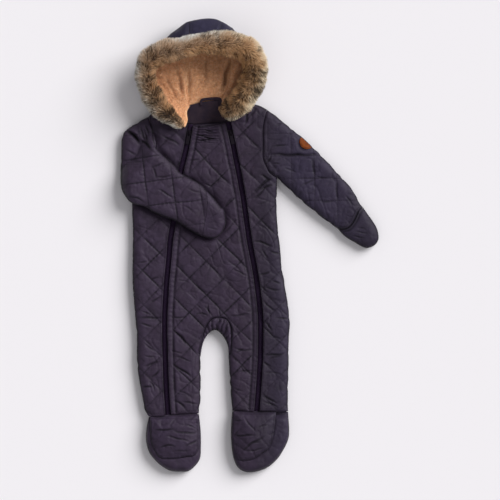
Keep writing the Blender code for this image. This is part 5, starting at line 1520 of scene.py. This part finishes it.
def make_bootie(done, side, foot, upper, hem):
    """A padded upper sewn into a padded sole, which shows as a rim at the toe and outer side."""
    sole_wall, sole_edge, upper_z, upper_wall = 13.0, 9, 13.3, 10.0
    name = "foot_upper_" + side
    hem = curve(hem, STEP) - [0, 0.1]
    foot, upper = curve(foot, STEP), curve(upper, STEP)
    across = np.sort(upper[[0, -1], 0]) + [1, -1]
    whole = inset(loop_of(foot, hem[1:-1] if foot[-1][0] < foot[0][0] else hem[-2:0:-1]), GAP / 2)
    hem_inside = hem[(hem[:, 0] > across[0]) & (hem[:, 0] < across[1])]
    loop = loop_of(upper, hem_inside if upper[-1][0] < upper[0][0] else hem_inside[::-1])
    seam_line = ring(loop)

    def sole_top(points):
        out = np.where(inside(points, loop), 0, distance_to(points, seam_line))
        rim = 10.0 * ease((out + 1.9) / 3) * rounded(distance_to(points, ring(whole)) / 13)
        rim *= ease((distance_to(points, hem) - 5) / 12)
        rim += 0.5 * ease(out / 4) * (rumple(points, 9, 31) - crinkled(points, 11, 35))
        thinner = (sole_wall - sole_edge) * (1 - rounded(distance_to(points, foot) / 5))
        return sole_wall + rim - thinner

    def upper_top(points):
        away = distance_to(points, seam_line)
        crown = 9.0 * ease(away / 34)
        hem_dip = 4.0 * (1 - ease(distance_to(points, hem) / 8))
        pucker = 0.6 * bell(away / 7) * rumple(points, 5, 14)
        edge = ease(away / 5)
        deep = worn(points, name) * edge
        roll = 2.0 * (1 - rounded(away / 3))
        soft = handled(points, 91) * edge
        return upper_z + upper_wall + crown - hem_dip - deep - roll + soft + pucker

    made = wall("foot_sole_" + side + "_cloth", whole, sole_top,
                lambda p: under_side(p, whole[::2], sole_edge), done["plain"], over=2.2)
    belongs(made, "plain", "foot_sole_" + side)
    loop = inset(loop, GAP)
    made = wall(name + "_cloth", loop, upper_top, level(upper_z), done["plain"], under=8.0)
    belongs(made, "plain", name)
    line = inset(loop, 3.0)
    sewn(line[line[:, 1] < loop[:, 1].max() - 8], upper_top)
    free = [side_r, inseam_r, foot] if side == "r" else [side_l, inseam_l, foot]
    seam_inside("ankle_seam_" + side, hem[1:-1], free, 1.3, done)


def evenly(points, count):
    """This many points, evenly spaced on a smooth curve through the given ones."""
    fine = curve(points, 1.0)
    return read_off(np.linspace(0, len(fine) - 1, count), np.arange(len(fine)), fine)


def along_seam(row, places):
    """Points at places on a crown section, from 0 at the neck to 1 at the fur."""
    count = 60
    return read_off(1 - places, np.linspace(0, 1, count), evenly(row, count))


def side_panel(rows, seam_row):
    """A hood side: a section for each shared seam place, and the seam's own end as the last."""
    table = np.array([[*edge, *bulge, *foot, place] for edge, bulge, foot, place in rows])
    sections = []
    for place, end in zip(SEAM_PLACES, along_seam(seam_row, np.array(SEAM_PLACES))):
        row = [np.interp(place, table[:, -1], column) for column in table.T[:-1]]
        sections.append(evenly([row[:3], row[3:6], row[6:], end], len(SEAM_END)))
    sections.append(along_seam(seam_row, SEAM_END[::-1]))
    return np.array(sections)


def share_seam(side, side_normals, crown_edge, crown_normals):
    """Gives a side and the crown one normal along their seam, and parts them by HOOD_SEAM."""
    last = len(SEAM_PLACES)
    places = [(k, -1) for k in range(last)] + [(last, k) for k in range(len(SEAM_END) - 1, -1, -1)]
    rows, columns = np.array(places).T
    normal = units(side_normals[rows, columns] + crown_normals)
    out = units(np.cross(normal, np.gradient(crown_edge, axis=0)))
    out *= np.sign((out[3] * (side[3, 0] - crown_edge[3])).sum())
    side_normals[rows, columns] = normal
    crown_normals[:] = normal
    side[rows, columns] += out * HOOD_SEAM / 2
    crown_edge -= out * HOOD_SEAM / 2


def make_hood(done):
    places = np.concatenate([SEAM_PLACES, SEAM_END])
    crown = np.array([along_seam(row, places) for row in CROWN_ROWS])
    crown = np.array([evenly(crown[:, k], 7) for k in range(crown.shape[1])]).transpose(1, 0, 2)
    right, left = side_panel(HOOD_SIDE_R, CROWN_ROWS[0]), side_panel(HOOD_SIDE_L, CROWN_ROWS[-1])
    panels = (right, crown, left)
    for grid in panels:
        grid[..., 2] = np.maximum(grid[..., 2], 0)
    whole = [grid.copy() for grid in panels]
    normals = [grid_normals(grid, HOOD_INSIDE) for grid in panels]
    share_seam(right, normals[0], crown[0], normals[1][0])
    share_seam(left, normals[2], crown[-1], normals[1][-1])
    for seed, (grid, within, normal, (shell, lining, rows, columns)) in enumerate(
            zip(panels, whole, normals, HOOD_PANELS)):
        grid[..., 2] = np.maximum(grid[..., 2], 0)
        grid, normal, within = [finer(table, rows, columns)
                                for table in (grid, units(normal), within)]
        up = units(normal).reshape(-1, 3)
        from_end = [np.minimum(np.arange(n), n - 1 - np.arange(n)) for n in (columns, rows)]
        border = np.minimum(*np.meshgrid(*from_end)).ravel()
        wide = np.linalg.norm(np.diff(grid, axis=1), axis=2).sum(1)
        tall = np.linalg.norm(np.diff(grid, axis=0), axis=2).sum(0)
        flat_size, area = (wide.max() * MM, tall.max() * MM), wide.mean() * tall.mean() * MM * MM
        made = make_shell(shell, grid, up, border, seed, done)
        stated(made, flat_size, area)
        made, tufts = make_lining(lining, 0.9 * within + 0.1 * grid, grid, up, border, seed, done)
        stated(made, flat_size, area)


def make_shell(name, grid, up, border, seed, done):
    """A panel of the hood's shell. border counts each point's rows from the panel's edge."""
    flat, inner = grid.reshape(-1, 3), ease(border / 4)
    rise = handled(flat[:, :2] + flat[:, 2:] * 0.7, 40 + seed) * 0.6 * inner
    rise -= 0.6 * creased(flat[:, :2], CREASES.get(name, [])) * (flat[:, 2] > 20) * inner
    # Painted shade: the shell darkens where it turns down towards the floor, towards the hood's
    # right side (-X), and in its hollows.
    painted_side_shade = 1.1 * clipped((40 - flat[:, 2]) / 6) + 1.1 * clipped((-90 - flat[:, 0]) / 18)
    outer, under = HOOD_SHELL
    made = thickened(name + "_cloth", grid, up, outer - np.clip(rise, -1.4, 0.8), under,
                     done["shell"], {"painted_shade": painted_side_shade - rise * inner})
    return belongs(made, "plain", name)


def make_lining(name, grid, outside, up, border, seed, done):
    """A panel of the fleece lining and its pile, both painted darker as shade in the folds and
    towards the hood's upper right.
    """
    flat, inner = grid.reshape(-1, 3), ease(border / 4)
    at = outside.reshape(-1, 3)[:, :2] + outside.reshape(-1, 3)[:, 2:] * 0.7
    lumps = 1.0 * rumple(at, 5.5, 50 + seed) + 0.8 * rumple(at, 11, 54 + seed)
    lumps = (lumps + 0.9 * rumple(at, 26, 58 + seed)) * inner
    fold = creased(flat[:, :2], LINING_FOLDS) * ease(border / 2)
    lumps += 0.9 * inner - 1.3 * fold
    lumps = np.where(lumps < 0, 2.5 * np.tanh(lumps / 2.5), lumps)  # no lower than the floor
    # Painted shade: the fleece darkens towards the hood's upper right, where the raised trim shades
    # it, and in its folds.
    from_left = np.clip((flat[:, 0] + 85) / 80, -1, 1)
    from_neck = np.clip((flat[:, 1] - 295) / 45, -1, 1)
    deep = clipped(0.38 * (0.5 + 0.4 * from_left + 0.3 * from_neck) + fold / 6)
    outer, under = HOOD_LINING
    made = thickened(name + "_fleece", grid, up, outer, under + lumps, done["fleece"],
                     {"deep": deep})
    belongs(made, "fleece", name)
    faces, _ = grid_faces(grid.shape)
    if (face_normals(flat, faces) * up[faces[:, 0]]).sum() < 0:
        faces = faces[:, ::-1]
    surface = flat + up * np.reshape(under + lumps - 0.6, (-1, 1))
    lie = up + 0.9 * np.column_stack([rumples(at, 5, 21, 22), 0 * at[:, 0]])
    fields = {"lie": lie, "reach": 0.3 + 0.7 * inner, "deep": deep}
    tufts = pile_on(name + "_pile", surface, faces, fields, done["fleece_pile"], seed=5 + seed,
                    **LINING_PILE)
    return made, belongs(tufts, "fleece")


def make_fur(done):
    """The trim: a thin padded core, and hairs that stand out from it all round."""
    path = curve(FUR_ROWS, 4.0)
    cosines, sines = circle(20).T
    core = 0.62  # the core's radius, as a share of the trim's half width
    section = np.stack([core * cosines, FUR_FLATTEN * (1 + core * sines)], 1)
    row = np.arange(len(path))
    taper = ease((np.minimum(row, row[::-1]) + 0.6) / 3)
    widths = path[:, 3] * (1 + 0.02 * np.cos(row * 0.7)) * (0.4 + 0.6 * taper)
    points, faces = swept(path, section, widths, path[:, 2])
    middle = np.column_stack([path[:, :2], path[:, 2] + FUR_FLATTEN * widths])
    middle = np.repeat(middle, len(section), 0)
    out = units(points - middle)
    points += out * (0.8 * rumple(points[:, :2] + points[:, 2:], 9, 2))[:, None]
    made = piece("fur_trim_core", points, faces, done["fur_base"])
    belongs(made, "fur", "fur_trim")

    # The lie: out from the core, along the trim and away from the face, in uneven locks.
    at = points[:, :2] + points[:, 2:] * 0.6
    swirl = rumples(at, 13, 31, 32, 33) * [1, 1, 0.5]
    fine = rumples(at, 5, 34, 35, 36) * [1, 1, 0.4]
    along = np.repeat(np.gradient(path[:, :3], axis=0), len(section), 0)
    along[:, 2] *= 0
    away = units(middle[:, :2] - np.array(HOOD_INSIDE[:2]))
    facing = (out[:, :2] * away).sum(1)  # 1 on the outer side, -1 on the face's side
    lie = out * [1.1, 1.1, 0.7] + 0.1 * swirl + 0.36 * fine + 0.6 * units(along)
    lie[:, :2] += 0.25 * away

    # At the hood's upper left corner the hairs reach down over the lining's rim.
    inward, under = np.clip(-facing, 0, 1), out[:, 2] < 0
    corner = ease((at[:, 0] + 30) / 20) * ease((at[:, 1] - 310) / 20) * inward
    lie[:, 2] = np.where(under, lie[:, 2] * (0.6 + corner), lie[:, 2])
    reach = np.repeat(widths, len(section)) / 18
    reach = reach * (1 + 0.07 * rumple(at, 8, 37) * ease(1 + facing / 0.7))
    reach *= 1 + np.where(out[:, 2] < 0.15, 0.6 * corner, -0.14 * inward)

    # The colour's place from the dark inner side to the pale outer one, and the locks' light.
    outer = np.clip(facing, -1, 1) * 0.75 + 0.25 * rumple(at, 17, 41)
    lock = 0.22 + 0.54 * rumple(at, 5, 43) + 0.2 * rumple(at, 16, 44)
    # Painted light: the trim is lighter along the hood's top, where the light falls on it.
    lock = lock + 0.34 * ease((at[:, 1] - 340) / 60)
    lock += 0.14 * clipped(outer) - 0.08 * ease((at[:, 0] + 50) / 40)
    quads = [f for f in faces if len(f) == 4]
    fields = {"lie": lie, "reach": reach, "outer": outer, "lock": lock}
    for name, pile in FUR_PILES.items():
        hairs = pile_on("fur_trim_" + name, points, quads, fields, done["fur_pile"], **pile)
        belongs(hairs, "fur")


def make_neck(done):
    loop = curve(loop_of(np.array(FACING, float)), 2.5, closed=True)
    made = wall("neck_facing_jersey", loop, lambda p: FRONT_Z + 1.5 + 0.3 * rumple(p, 12, 6),
                level(FRONT_Z), done["jersey"], under=8.0)
    belongs(made, "jersey", "neck_facing")
    declared(made, loop)
    made = bar("hang_loop_tape", curve(LOOP_ROUTE, 2.0), circle(12) * [2.6, 0.8], LOOP_Z,
               done["jersey"])
    belongs(made, "zip_tape", "hang_loop")


def make_zips(done):
    """Each zip's tapes, and the two halves of its coil, which start part of a link apart."""
    half, beyond, height = ZIP_HALF - GAP, 0.9, FRONT_Z + 5.2
    section = [(-half, 0.0), (half, 0.0), (half, 4.3), (2.6, 4.5), (2.3, 5.0), (-2.3, 5.0),
               (-2.6, 4.5), (-half, 4.3)]
    for side, path in (("r", zip_r), ("l", zip_l)):
        tape = bar("zip_tape_" + side, path, section, FRONT_Z, done["tape"])
        belongs(tape, "zip_tape", "zip_" + side)
        rows = [np.column_stack([beside(path, way), np.full(len(path), height)])
                for way in (beyond, -beyond)]
        rows[1][0, :2] += 0.3 * (rows[1][1, :2] - rows[1][0, :2])
        belongs(rows_of("zip_coil_" + side, rows, done["coil"], **COIL), "zip_tape")


def make_metal(done):
    for node in ("slider_r", "slider_l", "pull_r", "pull_l"):
        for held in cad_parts[node].material_slots:
            held.material = done["metal"]


def make_studio():
    """A plain pale floor and soft light from the upper right."""
    far, low = 6.0, -0.0004
    mesh = bpy.data.meshes.new("floor")
    corners = [(-far, -far, low), (far, -far, low), (far, far, low), (-far, far, low)]
    mesh.from_pydata(corners, [], [(0, 1, 2, 3)])
    floor = bpy.data.objects.new("floor", mesh)
    scene.collection.objects.link(floor)
    mesh.materials.append(finish("Matt white paper", "f3f0f3", 0.95)[0])
    world = bpy.data.worlds.new("studio")
    scene.world = world
    world.use_nodes = True
    sky = world.node_tree.nodes["Background"].inputs
    sky["Color"].default_value, sky["Strength"].default_value = SKY_COLOUR, SKY_STRENGTH
    for name, place, softness, power in LIGHTS:
        light = bpy.data.lights.new(name, "SUN")
        light.angle = math.radians(softness)
        light.energy = power
        lamp = bpy.data.objects.new(name, light)
        lamp.rotation_euler = (-Vector(place)).to_track_quat("-Z", "Y").to_euler()
        scene.collection.objects.link(lamp)
    scene.view_settings.view_transform = "Standard"


def main():
    done = make_finishes()
    make_back(done)
    make_front(done)
    make_sleeve_r(done)
    make_sleeve_l(done)
    make_bootie(done, "r", FOOT_R, UPPER_R, HEM_R)
    make_bootie(done, "l", FOOT_L, UPPER_L, HEM_L)
    make_hood(done)
    make_fur(done)
    make_neck(done)
    make_zips(done)
    make_metal(done)
    belongs(rows_of("stitching", stitched, done["thread"], **STITCH), "quilted")
    make_studio()


PILE = pile_tree()
ROWS = row_tree()
main()
